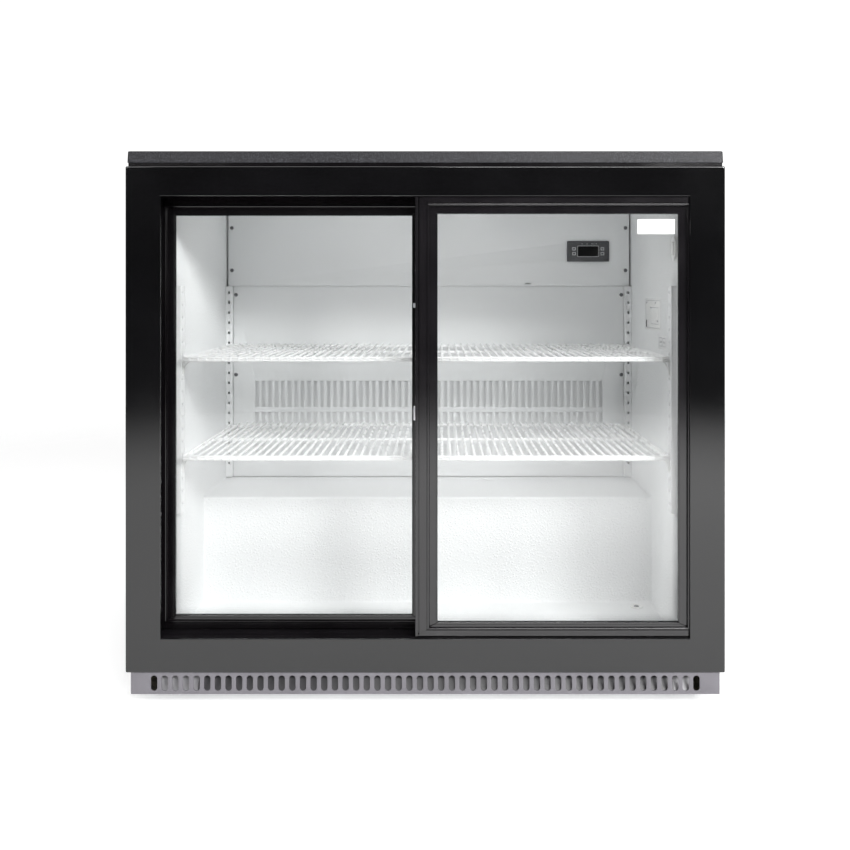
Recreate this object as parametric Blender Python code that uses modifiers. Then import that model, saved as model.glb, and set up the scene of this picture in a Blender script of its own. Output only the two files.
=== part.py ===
"""Under-counter bottle cooler with two sliding glass doors, as an assembly of separate parts.

Metres, +Z up, the front faces -Y, and the origin is on the floor below the cabinet's centre.
"""

import math

import bmesh
import bpy
from mathutils import Matrix, Vector

# Whole cabinet
WIDTH = 0.900
DEPTH = 0.510
HEIGHT = 0.842
FRONT = -DEPTH / 2
BACK = DEPTH / 2
GAP = 0.0003  # clearance left between parts that touch
SHEET = 0.0012  # folded sheet steel

# Levels, from the floor up
BASE = 0.025  # underside of the cabinet
GRILLE_TOP = 0.0585
FRAME_TOP = 0.8190
SIDE = WIDTH / 2

# Front frame and the pocket that its two door lanes run in
FRAME_DEPTH = 0.064
FRAME_BACK = FRONT + FRAME_DEPTH
LIP = 0.0023  # the frame's thickness in front of the doors
OPENING_X = 0.397
OPENING_Z = (0.110, 0.774)
POCKET_X = 0.4135
POCKET_Z = (0.1048, 0.7862)
POCKET_BACK = FRAME_BACK - 0.0057

# Sliding doors
DOOR_Z = (0.112, 0.782)
DOOR_THICK = 0.023
FRONT_DOOR_FACE = FRONT + 0.0046
REAR_DOOR_FACE = FRONT_DOOR_FACE + 0.0270
DOOR_OUTER = 0.411  # the edge inside the frame's channel
DOOR_INNER = 0.015  # how far each door passes the centre
GLASS_Z = (0.1305, 0.748)
GLASS_DEPTH = 0.009
GLASS_THICK = 0.012
REBATE = 0.009
PULL_LIP = 0.0043
PULL_GROOVE = 0.0014
PULL_RISE = 0.0020
ROLLER_R = 0.006
ROLLER_W = 0.005
ROLLER_INSET = 0.070
GROOVE_W = 0.007
TRACK_FLOOR = POCKET_Z[0] + 0.0015
ROLLER_Z = TRACK_FLOOR + GAP + ROLLER_R

# Cabin: the space that the liner encloses
CABIN_X = 0.405
CABIN_FRONT = FRAME_BACK + GAP
CABIN_BACK = 0.205
CABIN_FLOOR = 0.070
CABIN_CEILING = 0.798
HUMP_FRONT = -0.010
HUMP_TOP = 0.260
LINER = 0.001

# Air slots of the kick grille and of the machine compartment's cover, and the cord's hole
KICK_SLOTS = 52
KICK_SLOT_PITCH = 0.016
KICK_SLOT_W = 0.010
KICK_SLOT_Z = (0.0302, 0.0532)
KICK_X = 0.443
REAR_SLOT = (0.220, 0.006)
REAR_SLOT_COLUMNS = (-0.270, 0.0, 0.270)
REAR_SLOT_ROWS = 8
REAR_SLOT_FIRST = 0.085
REAR_SLOT_PITCH = 0.015
CORD_PLACE = (0.380, 0.055)
CORD_HOLE_R = 0.0090

# Machine compartment, under the hump at the back
MACHINE_FRONT = 0.030
MACHINE_TOP = 0.222
FLOOR_FOAM_BOTTOM = 0.0446
FOAM_SIDE = 0.4470
FOAM_BACK = BACK - SHEET - GAP

# Rear wall of the cabin
PANEL_Y = 0.149
PANEL_X = 0.3905
PANEL_Z = (0.262, 0.6420)
COVER_Y = 0.1475
COVER_X = 0.401
COVER_Z = (0.6425, 0.7970)
AIR_COLUMNS = 54
AIR_PITCH = 0.013
AIR_WIDTH = 0.0065
AIR_ROWS = ((0.2995, 0.3270), (0.3365, 0.3900), (0.4000, 0.4530))

# Shelves and what carries them
SHELF_LEVELS = {"lower": 0.3685, "upper": 0.5245}
SHELF_X = 0.3855
SHELF_Y = (-0.194, 0.134)
SHELF_MID_Y = -0.026
RAIL_W = 0.0060
RAIL_H = 0.0090
WIRE = 0.0042
WIRES = 59
WIRE_PITCH = 0.01285
PILASTER_PITCH = 0.020
PILASTER_HOLES = 18
PILASTER_FIRST_HOLE = 0.287
PILASTER_HOLE = (0.004, 0.005)
PILASTER_FRONT_Y = (-0.174, -0.154)
PILASTER_FRONT_Z = (0.275, 0.640)
PILASTER_REAR_X = (0.391, 0.4047)
PILASTER_REAR_Z = (PANEL_Z[0] + GAP, PANEL_Z[1])
PILASTER_FRONT_FACE_X = 0.3925
PILASTER_REAR_FACE_Y = 0.1405
CLIP_H = 0.024
CLIP_TIP = 0.002
CLIP_FRONT_Y = (-0.169, -0.159)
CLIP_FRONT_TIP_X = 0.3770
CLIP_REAR_X = (0.3790, 0.4000)
CLIP_REAR_TIP_Y = 0.1265

# Thermostat and light switch
THERMOSTAT_X = 0.3185
THERMOSTAT_Z = 0.712
BEZEL = (0.084, 0.041)
BEZEL_Y = 0.1435
BUTTON = (0.0092, 0.0080)
BUTTON_OFFSET = (0.0283, 0.0048)
BUTTON_ROOM = 0.0004
BUTTON_RISE = 0.0008
SWITCH_Y = -0.165
SWITCH_Z = 0.700
SWITCH_FACE_X = 0.3965
ROCKER_X = (0.3955, 0.4015)
ROCKER = (0.012, 0.020)

# Feet
FOOT_X = 0.385
FOOT_Y = {"front": -0.176, "rear": 0.205}
FOOT_R = 0.020

# Colour, roughness and metallic value of each finish
BLACK_PAINT = ((0.012, 0.012, 0.013), 0.30, 0.0)
WORKTOP = ((0.090, 0.090, 0.095), 0.55, 0.0)
GALVANISED = ((0.42, 0.43, 0.44), 0.45, 1.0)
WHITE_STEEL = ((0.82, 0.83, 0.84), 0.45, 0.0)
WHITE_WIRE = ((0.88, 0.88, 0.88), 0.35, 0.0)
GREY_PLASTIC = ((0.36, 0.35, 0.38), 0.50, 0.0)
DARK_PLASTIC = ((0.05, 0.05, 0.055), 0.40, 0.0)
WHITE_PLASTIC = ((0.80, 0.80, 0.78), 0.40, 0.0)
FOAM = ((0.78, 0.66, 0.40), 0.95, 0.0)
ALUMINIUM = ((0.62, 0.63, 0.64), 0.35, 1.0)
GLASS = ((0.85, 0.92, 0.90), 0.03, 0.0)
MACHINE_BLACK = ((0.02, 0.02, 0.02), 0.40, 0.0)


def clear_scene():
    for obj in list(bpy.data.objects):
        bpy.data.objects.remove(obj, do_unlink=True)


def new_collection(name):
    collection = bpy.data.collections.new(name)
    bpy.context.scene.collection.children.link(collection)
    return collection


clear_scene()
PARTS = new_collection("under_counter_fridge")
CUTTERS = new_collection("cutters")


# ---------------------------------------------------------------- modelling helpers


def object_of(name, bm, origin=(0, 0, 0)):
    """An object made from a bmesh in world coordinates, with its origin at the given point."""
    bmesh.ops.recalc_face_normals(bm, faces=bm.faces)
    bmesh.ops.translate(bm, verts=bm.verts, vec=-Vector(origin))
    mesh = bpy.data.meshes.new(name)
    bm.to_mesh(mesh)
    bm.free()
    obj = bpy.data.objects.new(name, mesh)
    obj.location = origin
    return obj


def part(obj, finish):
    """Puts an object in the parts' collection, with a material of its own."""
    PARTS.objects.link(obj)
    colour, roughness, metallic = finish
    material = bpy.data.materials.new(obj.name)
    material.use_nodes = True
    shader = material.node_tree.nodes["Principled BSDF"]
    shader.inputs["Base Color"].default_value = (*colour, 1)
    shader.inputs["Roughness"].default_value = roughness
    shader.inputs["Metallic"].default_value = metallic
    if finish is GLASS:
        shader.inputs["Transmission Weight"].default_value = 1.0
    obj.data.materials.append(material)
    return obj


def cutter(obj):
    CUTTERS.objects.link(obj)
    obj.hide_render = True
    obj.display_type = "WIRE"
    return obj


def boolean(obj, other, operation="DIFFERENCE"):
    modifier = obj.modifiers.new(operation.lower(), "BOOLEAN")
    modifier.operation = operation
    modifier.solver = "EXACT"
    modifier.object = other


def add_box(bm, low, high):
    centre = (Vector(low) + Vector(high)) / 2
    size = Vector(high) - Vector(low)
    bmesh.ops.create_cube(bm, matrix=Matrix.LocRotScale(centre, None, size))


def add_cylinder(bm, centre, radius, length, axis="Z", segments=32):
    turn = {"X": Matrix.Rotation(math.pi / 2, 4, "Y"), "Y": Matrix.Rotation(math.pi / 2, 4, "X")}
    matrix = Matrix.Translation(centre) @ turn.get(axis, Matrix.Identity(4))
    bmesh.ops.create_cone(
        bm, cap_ends=True, segments=segments, radius1=radius, radius2=radius, depth=length, matrix=matrix
    )


def boxes(name, corner_pairs, origin=(0, 0, 0)):
    bm = bmesh.new()
    for low, high in corner_pairs:
        add_box(bm, low, high)
    return object_of(name, bm, origin)


def box(name, low, high, finish, origin=(0, 0, 0)):
    return part(boxes(name, [(low, high)], origin), finish)


def cut_boxes(obj, corner_pairs):
    boolean(obj, cutter(boxes(obj.name + "_cut", corner_pairs)))


def cut_cylinder(obj, centre, radius, length, axis):
    bm = bmesh.new()
    add_cylinder(bm, centre, radius, length, axis)
    boolean(obj, cutter(object_of(obj.name + "_bore", bm)))


def prism(name, outline, along, start, end, origin=(0, 0, 0)):
    """An outline in the plane across an axis, pushed from start to end along that axis."""
    place = {
        "X": lambda u, v: (start, u, v),
        "Y": lambda u, v: (u, start, v),
        "Z": lambda u, v: (u, v, start),
    }[along]
    push = Vector((along == "X", along == "Y", along == "Z")) * (end - start)
    bm = bmesh.new()
    face = bm.faces.new([bm.verts.new(place(u, v)) for u, v in outline])
    pushed = bmesh.ops.extrude_face_region(bm, geom=[face])["geom"]
    moved = [item for item in pushed if isinstance(item, bmesh.types.BMVert)]
    bmesh.ops.translate(bm, verts=moved, vec=push)
    return object_of(name, bm, origin)


def turned(name, profile, origin, axis="Z", steps=24):
    """A profile of (radius, height) points, listed down its outer side, turned about the axis."""
    mesh = bpy.data.meshes.new(name)
    edges = [(i, i + 1) for i in range(len(profile) - 1)]
    mesh.from_pydata([(radius, 0, height) for radius, height in profile], edges, [])
    obj = bpy.data.objects.new(name, mesh)
    obj.location = origin
    obj.rotation_euler = {"Z": (0, 0, 0), "Y": (-math.pi / 2, 0, 0), "X": (0, math.pi / 2, 0)}[axis]
    screw = obj.modifiers.new("turn", "SCREW")
    screw.steps = screw.render_steps = steps
    screw.use_merge_vertices = True
    screw.merge_threshold = 0.00001
    return obj


def mirrored(outline):
    """The outline on the other side of X = 0."""
    return [(-u, v) for u, v in reversed(outline)]


def channel(inner, outer, start, end):
    """A U outline: its web is at u = inner, and its two flanges reach u = outer at v = start and end."""
    wall = math.copysign(SHEET, outer - inner)
    return [
        (inner, start),
        (outer, start),
        (outer, start + SHEET),
        (inner + wall, start + SHEET),
        (inner + wall, end - SHEET),
        (outer, end - SHEET),
        (outer, end),
        (inner, end),
    ]


# ---------------------------------------------------------------- cabinet shell


def make_base_tray():
    toe_x = 0.4405
    rear_x = SIDE - SHEET - 0.0008
    back = BACK - SHEET - GAP
    front = FRONT + 0.0065
    outline = [(-toe_x, front), (toe_x, front), (toe_x, FRAME_BACK), (rear_x, FRAME_BACK)]
    outline += [(rear_x, back - 0.002), (-rear_x, back - 0.002), (-rear_x, FRAME_BACK), (-toe_x, FRAME_BACK)]
    tray = part(prism("base_tray", outline, "Z", BASE + GAP, BASE + GAP + 0.0015), GALVANISED)
    bm = bmesh.new()
    for x, y in foot_places().values():
        add_cylinder(bm, (x, y, BASE), 0.0056, 0.02, segments=16)
    boolean(tray, cutter(object_of("base_tray_stem_holes", bm)))


def make_side_panels():
    for side, sign in (("left", -1), ("right", 1)):
        outer, inner = sign * SIDE, sign * (SIDE - SHEET)
        box(
            "side_panel_" + side,
            (min(outer, inner), FRAME_BACK + GAP, BASE + GAP),
            (max(outer, inner), BACK - SHEET - GAP, FRAME_TOP),
            BLACK_PAINT,
        )


def make_back_panel():
    low = (-SIDE, BACK - SHEET, MACHINE_TOP)
    box("back_panel", low, (SIDE, BACK, FRAME_TOP), GALVANISED)


def make_rear_grille():
    """Removable cover of the machine compartment, with rows of air slots and the cord's hole."""
    half = SIDE - SHEET - 0.0008
    y = BACK - 0.0042
    grille = box(
        "rear_grille", (-half, y, BASE + 0.0030), (half, y + SHEET, MACHINE_TOP - GAP), GALVANISED
    )
    half_w, height = REAR_SLOT[0] / 2, REAR_SLOT[1]
    slots = []
    for x in REAR_SLOT_COLUMNS:
        for row in range(REAR_SLOT_ROWS):
            z = REAR_SLOT_FIRST + REAR_SLOT_PITCH * row
            slots.append(((x - half_w, y - 0.01, z), (x + half_w, y + 0.01, z + height)))
    cut_boxes(grille, slots)
    cord_x, cord_z = CORD_PLACE
    cut_cylinder(grille, (cord_x, y, cord_z), CORD_HOLE_R, 0.02, "Y")
    bore, flange, neck = 0.004, 0.012, CORD_HOLE_R - GAP
    profile = [(bore, 0.0027), (flange, 0.0027), (flange, 0), (neck, 0), (neck, -0.008), (bore, -0.008)]
    gland = turned("cord_gland", [*profile, profile[0]], (cord_x, y + SHEET + GAP, cord_z), "Y")
    part(gland, DARK_PLASTIC)


def make_top_panel():
    """A pan of folded sheet, open below, that closes the cabinet."""
    bm = bmesh.new()
    edge = SIDE - 0.0015
    add_box(bm, (-edge, FRONT + 0.002, FRAME_TOP + GAP), (edge, BACK, HEIGHT))
    underside = min(bm.faces, key=lambda face: face.calc_center_median().z)
    bmesh.ops.delete(bm, geom=[underside], context="FACES_ONLY")
    top = part(object_of("top_panel", bm), WORKTOP)
    solidify = top.modifiers.new("sheet", "SOLIDIFY")
    solidify.thickness = SHEET
    solidify.offset = -1
    solidify.use_even_offset = True


def cabin_outline(grow):
    """Side view of the cabin, with the machine hump, enlarged all round except at the front."""
    return [
        (CABIN_FRONT, CABIN_FLOOR - grow),
        (HUMP_FRONT + grow, CABIN_FLOOR - grow),
        (HUMP_FRONT + grow, HUMP_TOP - grow),
        (CABIN_BACK + grow, HUMP_TOP - grow),
        (CABIN_BACK + grow, CABIN_CEILING + grow),
        (CABIN_FRONT, CABIN_CEILING + grow),
    ]


def make_foam():
    outline = [
        (CABIN_FRONT, FLOOR_FOAM_BOTTOM),
        (MACHINE_FRONT, FLOOR_FOAM_BOTTOM),
        (MACHINE_FRONT, MACHINE_TOP),
        (FOAM_BACK, MACHINE_TOP),
        (FOAM_BACK, HEIGHT - SHEET - GAP),
        (CABIN_FRONT, HEIGHT - SHEET - GAP),
    ]
    foam = part(prism("insulation_foam", outline, "X", -FOAM_SIDE, FOAM_SIDE), FOAM)
    room = LINER + GAP
    cavity = [(y - 0.02 if y == CABIN_FRONT else y, z) for y, z in cabin_outline(room)]
    boolean(foam, cutter(prism("cabin_cut", cavity, "X", -CABIN_X - room, CABIN_X + room)))


def make_liner():
    liner = prism("inner_liner", cabin_outline(0), "X", -CABIN_X, CABIN_X)
    bm = bmesh.new()
    bm.from_mesh(liner.data)
    mouth = min(bm.faces, key=lambda face: face.calc_center_median().y)
    bmesh.ops.delete(bm, geom=[mouth], context="FACES_ONLY")
    bm.to_mesh(liner.data)
    bm.free()
    part(liner, WHITE_STEEL)
    solidify = liner.modifiers.new("sheet", "SOLIDIFY")
    solidify.thickness = LINER
    solidify.offset = 1
    solidify.use_even_offset = True


def make_front_frame():
    low, high = (-SIDE, FRONT, GRILLE_TOP + GAP), (SIDE, FRAME_BACK, FRAME_TOP)
    frame = box("front_frame", low, high, BLACK_PAINT)
    opening = ((-OPENING_X, FRONT - 0.01, OPENING_Z[0]), (OPENING_X, FRONT + 2 * LIP, OPENING_Z[1]))
    pocket = ((-POCKET_X, FRONT + LIP, POCKET_Z[0]), (POCKET_X, POCKET_BACK, POCKET_Z[1]))
    mouth = ((-CABIN_X, POCKET_BACK - 0.005, OPENING_Z[0]), (CABIN_X, FRAME_BACK + 0.01, POCKET_Z[1]))
    for step, cut in enumerate((opening, pocket, mouth)):
        boolean(frame, cutter(boxes(f"front_frame_cut_{step}", [cut])))


def lane_centres():
    return [face + DOOR_THICK / 2 for face in (FRONT_DOOR_FACE, REAR_DOOR_FACE)]


def make_bottom_track():
    """The sill that the doors roll on: a bar with a groove for each door's rollers."""
    front, back = FRONT + LIP + GAP, POCKET_BACK - GAP
    bottom, top = POCKET_Z[0] + GAP, OPENING_Z[0]
    outline = [(front, bottom), (back, bottom), (back, top)]
    for centre in reversed(lane_centres()):
        far, near = centre + GROOVE_W / 2, centre - GROOVE_W / 2
        outline += [(far, top), (far, TRACK_FLOOR), (near, TRACK_FLOOR), (near, top)]
    outline.append((front, top))
    reach = POCKET_X - GAP
    part(prism("bottom_track", outline, "X", -reach, reach), BLACK_PAINT)


def make_kick_grille():
    y = FRONT + 0.004
    grille = box("kick_grille", (-KICK_X, y, BASE), (KICK_X, y + 0.0015, GRILLE_TOP), GREY_PLASTIC)
    low, high = KICK_SLOT_Z
    slots = []
    for index in range(KICK_SLOTS):
        x = KICK_SLOT_PITCH * (index - (KICK_SLOTS - 1) / 2)
        slots.append(((x - KICK_SLOT_W / 2, y - 0.01, low), (x + KICK_SLOT_W / 2, y + 0.01, high)))
    cut_boxes(grille, slots)


# ---------------------------------------------------------------- doors


def mitred_bar(name, profile, place, length, widths, finish):
    """A bar of the given profile, its two ends cut to meet neighbours of other widths.

    The profile's points are (distance from the door's edge, depth behind its face). place turns
    (distance along the bar, distance from the edge, depth) into a world point.
    """
    own, start_width, end_width = widths
    bm = bmesh.new()
    rings = []
    for end in (0, 1):
        ring = []
        for inward, depth in profile:
            inward_seen = max(inward, 0)
            reach = GAP + inward_seen * (end_width if end else start_width) / own
            along = length - reach if end else reach
            ring.append(bm.verts.new(place(along, inward, depth)))
        rings.append(ring)
    bm.faces.new(rings[0])
    bm.faces.new(reversed(rings[1]))
    count = len(profile)
    for i in range(count):
        j = (i + 1) % count
        bm.faces.new((rings[0][i], rings[1][i], rings[1][j], rings[0][j]))
    return part(object_of(name, bm), finish)


def bar_profile(width, pull=False):
    """Section of a door bar: a flat face, a bead that slopes to the glass, and the glass rebate."""
    bead = 0.012 if width > 0.02 else 0.005
    front, back = GLASS_DEPTH - GAP, GLASS_DEPTH + GLASS_THICK + GAP
    profile = [(width - bead, 0), (width, 0.004), (width, front), (width - REBATE, front)]
    profile += [(width - REBATE, back), (width, back), (width, DOOR_THICK), (0, DOOR_THICK)]
    if pull:
        step = PULL_LIP + PULL_GROOVE
        profile += [(0, -PULL_RISE), (PULL_LIP, -PULL_RISE), (PULL_LIP, 0.0015), (step, 0.0015), (step, 0)]
    else:
        profile.append((0, 0))
    return profile


def make_door(name, low_x, high_x, face, glass_x, pull_side):
    """Four mitred bars round a sealed glass unit, on two rollers."""
    width = {
        "left": glass_x[0] - low_x,
        "right": high_x - glass_x[1],
        "bottom": GLASS_Z[0] - DOOR_Z[0],
        "top": DOOR_Z[1] - GLASS_Z[1],
    }
    low_z, high_z = DOOR_Z
    across, height = high_x - low_x, high_z - low_z
    places = {
        "left": lambda a, u, v: (low_x + u, face + v, low_z + a),
        "right": lambda a, u, v: (high_x - u, face + v, low_z + a),
        "bottom": lambda a, u, v: (low_x + a, face + v, low_z + u),
        "top": lambda a, u, v: (low_x + a, face + v, high_z - u),
    }
    for side, place in places.items():
        upright = side in ("left", "right")
        ends = ("bottom", "top") if upright else ("left", "right")
        bar = mitred_bar(
            f"{name}_{'stile' if upright else 'rail'}_{side}",
            bar_profile(width[side], pull=side == pull_side),
            place,
            height if upright else across,
            (width[side], width[ends[0]], width[ends[1]]),
            BLACK_PAINT,
        )
        if side == "bottom":
            cut_roller_pockets(bar, low_x, high_x, face)
    inset = REBATE - GAP
    box(
        name + "_glass",
        (glass_x[0] - inset, face + GLASS_DEPTH, GLASS_Z[0] - inset),
        (glass_x[1] + inset, face + GLASS_DEPTH + GLASS_THICK, GLASS_Z[1] + inset),
        GLASS,
    )
    make_rollers(name, low_x, high_x, face)


def roller_places(low_x, high_x):
    return {"left": low_x + ROLLER_INSET, "right": high_x - ROLLER_INSET}


def cut_roller_pockets(bar, low_x, high_x, face):
    centre = face + DOOR_THICK / 2
    half = GROOVE_W / 2
    room = ROLLER_R + 0.0010
    pockets = []
    for x in roller_places(low_x, high_x).values():
        low = (x - room, centre - half, DOOR_Z[0] - 0.01)
        pockets.append((low, (x + room, centre + half, ROLLER_Z + room)))
    cut_boxes(bar, pockets)


def make_rollers(name, low_x, high_x, face):
    half = ROLLER_W / 2
    profile = [(0, half + 0.0007), (0.0018, half + 0.0007), (0.0018, half), (ROLLER_R, half)]
    profile += [(radius, -height) for radius, height in reversed(profile)]
    for side, x in roller_places(low_x, high_x).items():
        centre = (x, face + DOOR_THICK / 2, ROLLER_Z)
        part(turned(f"{name}_roller_{side}", profile, centre, "Y", steps=20), WHITE_PLASTIC)


def make_doors():
    make_door("front_door", -DOOR_INNER, DOOR_OUTER, FRONT_DOOR_FACE, (0.0185, 0.3824), "left")
    make_door("rear_door", -DOOR_OUTER, DOOR_INNER, REAR_DOOR_FACE, (-0.3864, -0.0210), None)


# ---------------------------------------------------------------- cabin fittings


def make_rear_air_panel():
    low, high = (-PANEL_X, PANEL_Y, PANEL_Z[0]), (PANEL_X, PANEL_Y + SHEET, PANEL_Z[1])
    panel = box("rear_air_panel", low, high, WHITE_STEEL)
    slots = []
    for column in range(AIR_COLUMNS):
        x = AIR_PITCH * (column - (AIR_COLUMNS - 1) / 2)
        left, right = x - AIR_WIDTH / 2, x + AIR_WIDTH / 2
        for bottom, top in AIR_ROWS:
            slots.append(((left, PANEL_Y - 0.01, bottom), (right, PANEL_Y + 0.01, top)))
    cut_boxes(panel, slots)


def make_evaporator_cover():
    low, high = (-COVER_X, COVER_Y, COVER_Z[0]), (COVER_X, COVER_Y + SHEET, COVER_Z[1])
    cover = box("evaporator_cover", low, high, WHITE_STEEL)
    half_w, half_h = BEZEL[0] / 2 - 0.0035, BEZEL[1] / 2 - 0.0035
    low = (THERMOSTAT_X - half_w, COVER_Y - 0.01, THERMOSTAT_Z - half_h)
    cut_boxes(cover, [(low, (THERMOSTAT_X + half_w, COVER_Y + 0.01, THERMOSTAT_Z + half_h))])


def make_evaporator_coil():
    """A finned block, seen from above as a comb."""
    start, end, fins = -0.200, 0.250, 16
    front, root, back = 0.160, 0.190, 0.198
    pitch = (end - start) / fins
    outline = [(end, back), (start, back)]
    for fin in range(fins):
        x = start + pitch * fin
        outline += [(x, front), (x + pitch * 0.4, front), (x + pitch * 0.4, root)]
        if fin < fins - 1:
            outline.append((x + pitch, root))
    outline.append((end, root))
    part(prism("evaporator_coil", outline, "Z", 0.655, 0.785), ALUMINIUM)


def make_fan(name, centre, axis, radius, blades, width, finish):
    """A hub with pitched blades, its origin on the axis that it turns about."""
    hub = bmesh.new()
    hub_r = radius * 0.26
    add_cylinder(hub, (0, 0, 0), hub_r, width, segments=20)
    fan = part(object_of(name, hub), finish)
    ring = bmesh.new()
    for index in range(blades):
        length = radius - hub_r * 0.6
        size = Matrix.Diagonal((length, radius * 0.55, 0.0016, 1))
        reach = Matrix.Translation((hub_r * 0.6 + length / 2, 0, 0))
        pitch = Matrix.Rotation(math.radians(24), 4, "X")
        turn = Matrix.Rotation(2 * math.pi * index / blades, 4, "Z")
        bmesh.ops.create_cube(ring, matrix=turn @ reach @ pitch @ size)
    ring_cutter = cutter(object_of(name + "_blades", ring))
    boolean(fan, ring_cutter, "UNION")
    for obj in (fan, ring_cutter):
        obj.location = centre
        obj.rotation_euler = (math.pi / 2, 0, 0) if axis == "Y" else (0, math.pi / 2, 0)


def make_evaporator_fan():
    x, z = -0.300, 0.715
    plate_y = 0.170
    half = 0.060
    low, high = (x - half, plate_y, z - half), (x + half, plate_y + 0.002, z + half)
    housing = box("evaporator_fan_housing", low, high, GALVANISED)
    cut_cylinder(housing, (x, plate_y, z), 0.049, 0.02, "Y")
    arm = ((x - 0.055, plate_y + 0.0005, z - 0.007), (x + 0.055, plate_y + 0.0035, z + 0.007))
    boolean(housing, cutter(boxes("evaporator_fan_arm", [arm])), "UNION")
    motor = bmesh.new()
    add_cylinder(motor, (x, plate_y + 0.0165, z), 0.019, 0.028, "Y")
    boolean(housing, cutter(object_of("evaporator_fan_motor", motor)), "UNION")
    make_fan("evaporator_fan_blade", (x, 0.1605, z), "Y", 0.046, 5, 0.016, DARK_PLASTIC)


def make_pilasters():
    levels = [PILASTER_FIRST_HOLE + PILASTER_PITCH * index for index in range(PILASTER_HOLES)]
    half_w, hole_h = PILASTER_HOLE[0] / 2, PILASTER_HOLE[1]
    wall = CABIN_X - GAP
    for side, sign in (("left", -1), ("right", 1)):
        front_y = PILASTER_FRONT_Y
        outline = channel(PILASTER_FRONT_FACE_X, wall, *front_y)
        outline = outline if sign > 0 else mirrored(outline)
        front = prism(f"pilaster_front_{side}", outline, "Z", *PILASTER_FRONT_Z)
        part(front, WHITE_STEEL)
        middle = sum(front_y) / 2
        face = sign * PILASTER_FRONT_FACE_X
        near, far = (face - 0.005, middle - half_w), (face + 0.005, middle + half_w)
        cut_boxes(front, [((*near, z), (*far, z + hole_h)) for z in levels])
        low_x, high_x = PILASTER_REAR_X
        section = [(x, y) for y, x in channel(PILASTER_REAR_FACE_Y, 0.156, low_x, high_x)]
        section = section if sign > 0 else mirrored(section)
        rear = prism(f"pilaster_rear_{side}", section, "Z", *PILASTER_REAR_Z)
        part(rear, WHITE_STEEL)
        middle, face = sign * (low_x + high_x) / 2, PILASTER_REAR_FACE_Y
        near, far = (middle - half_w, face - 0.005), (middle + half_w, face + 0.005)
        cut_boxes(rear, [((*near, z), (*far, z + hole_h)) for z in levels])


def make_shelf(name, level):
    """Front-to-back wires through a frame of rails, with a cross rail under their middle."""
    low_y, high_y = SHELF_Y
    bottom, top = level - RAIL_H / 2, level + RAIL_H / 2
    shelf = box(name, (-SHELF_X, low_y, bottom), (SHELF_X, high_y, top), WHITE_WIRE)
    inner = SHELF_X - RAIL_W
    bays = []
    for near, far in ((low_y, SHELF_MID_Y), (SHELF_MID_Y, high_y)):
        start = near + (RAIL_W if near == low_y else RAIL_W / 2)
        end = far - (RAIL_W if far == high_y else RAIL_W / 2)
        bays.append(((-inner, start, bottom - 0.01), (inner, end, top + 0.01)))
    cut_boxes(shelf, bays)
    wires = []
    wire_bottom = top - WIRE - 0.0002
    for index in range(WIRES):
        x = WIRE_PITCH * (index - (WIRES - 1) / 2)
        low = (x - WIRE / 2, low_y + RAIL_W / 2, wire_bottom)
        wires.append((low, (x + WIRE / 2, high_y - RAIL_W / 2, top - 0.0002)))
    boolean(shelf, cutter(boxes(name + "_wires", wires)), "UNION")


def gusset(wall, tip, top):
    """A bracket seen from its side: flat on top, and sloping from its tip down to the wall."""
    return [(wall, top), (tip, top), (tip, top - CLIP_TIP), (wall, top - CLIP_H)]


def make_shelf_clips(name, level):
    """Brackets hooked to the four pilasters, flat on top for the shelf's rails."""
    top = level - RAIL_H / 2 - GAP
    for side, sign in (("left", -1), ("right", 1)):
        outline = gusset(PILASTER_FRONT_FACE_X - GAP, CLIP_FRONT_TIP_X, top)
        outline = outline if sign > 0 else mirrored(outline)
        part(prism(f"shelf_clip_{name}_front_{side}", outline, "Y", *CLIP_FRONT_Y), WHITE_PLASTIC)
        outline = gusset(PILASTER_REAR_FACE_Y - GAP, CLIP_REAR_TIP_Y, top)
        near, far = sorted(sign * x for x in CLIP_REAR_X)
        part(prism(f"shelf_clip_{name}_rear_{side}", outline, "X", near, far), WHITE_PLASTIC)


def make_thermostat():
    half_w, half_h = BEZEL[0] / 2, BEZEL[1] / 2
    x, z = THERMOSTAT_X, THERMOSTAT_Z
    low, high = (x - half_w, BEZEL_Y, z - half_h), (x + half_w, COVER_Y - GAP, z + half_h)
    body = box("thermostat_body", low, high, DARK_PLASTIC)
    neck_w, neck_h, neck_back = half_w - 0.004, half_h - 0.004, 0.195
    neck = ((x - neck_w, COVER_Y - 0.001, z - neck_h), (x + neck_w, neck_back, z + neck_h))
    boolean(body, cutter(boxes("thermostat_neck", [neck])), "UNION")
    w, h = BUTTON[0] / 2, BUTTON[1] / 2
    pocket_w, pocket_h = w + BUTTON_ROOM, h + BUTTON_ROOM
    pockets = []
    for side, sx in (("left", -1), ("right", 1)):
        for row, sz in (("upper", 1), ("lower", -1)):
            cx, cz = x + sx * BUTTON_OFFSET[0], z + sz * BUTTON_OFFSET[1]
            low = (cx - pocket_w, BEZEL_Y - 0.01, cz - pocket_h)
            pockets.append((low, (cx + pocket_w, BEZEL_Y + 0.0022, cz + pocket_h)))
            low, high = (cx - w, BEZEL_Y - BUTTON_RISE, cz - h), (cx + w, BEZEL_Y + 0.0013, cz + h)
            box(f"thermostat_button_{row}_{side}", low, high, DARK_PLASTIC, origin=(cx, BEZEL_Y, cz))
    cut_boxes(body, pockets)


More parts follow.
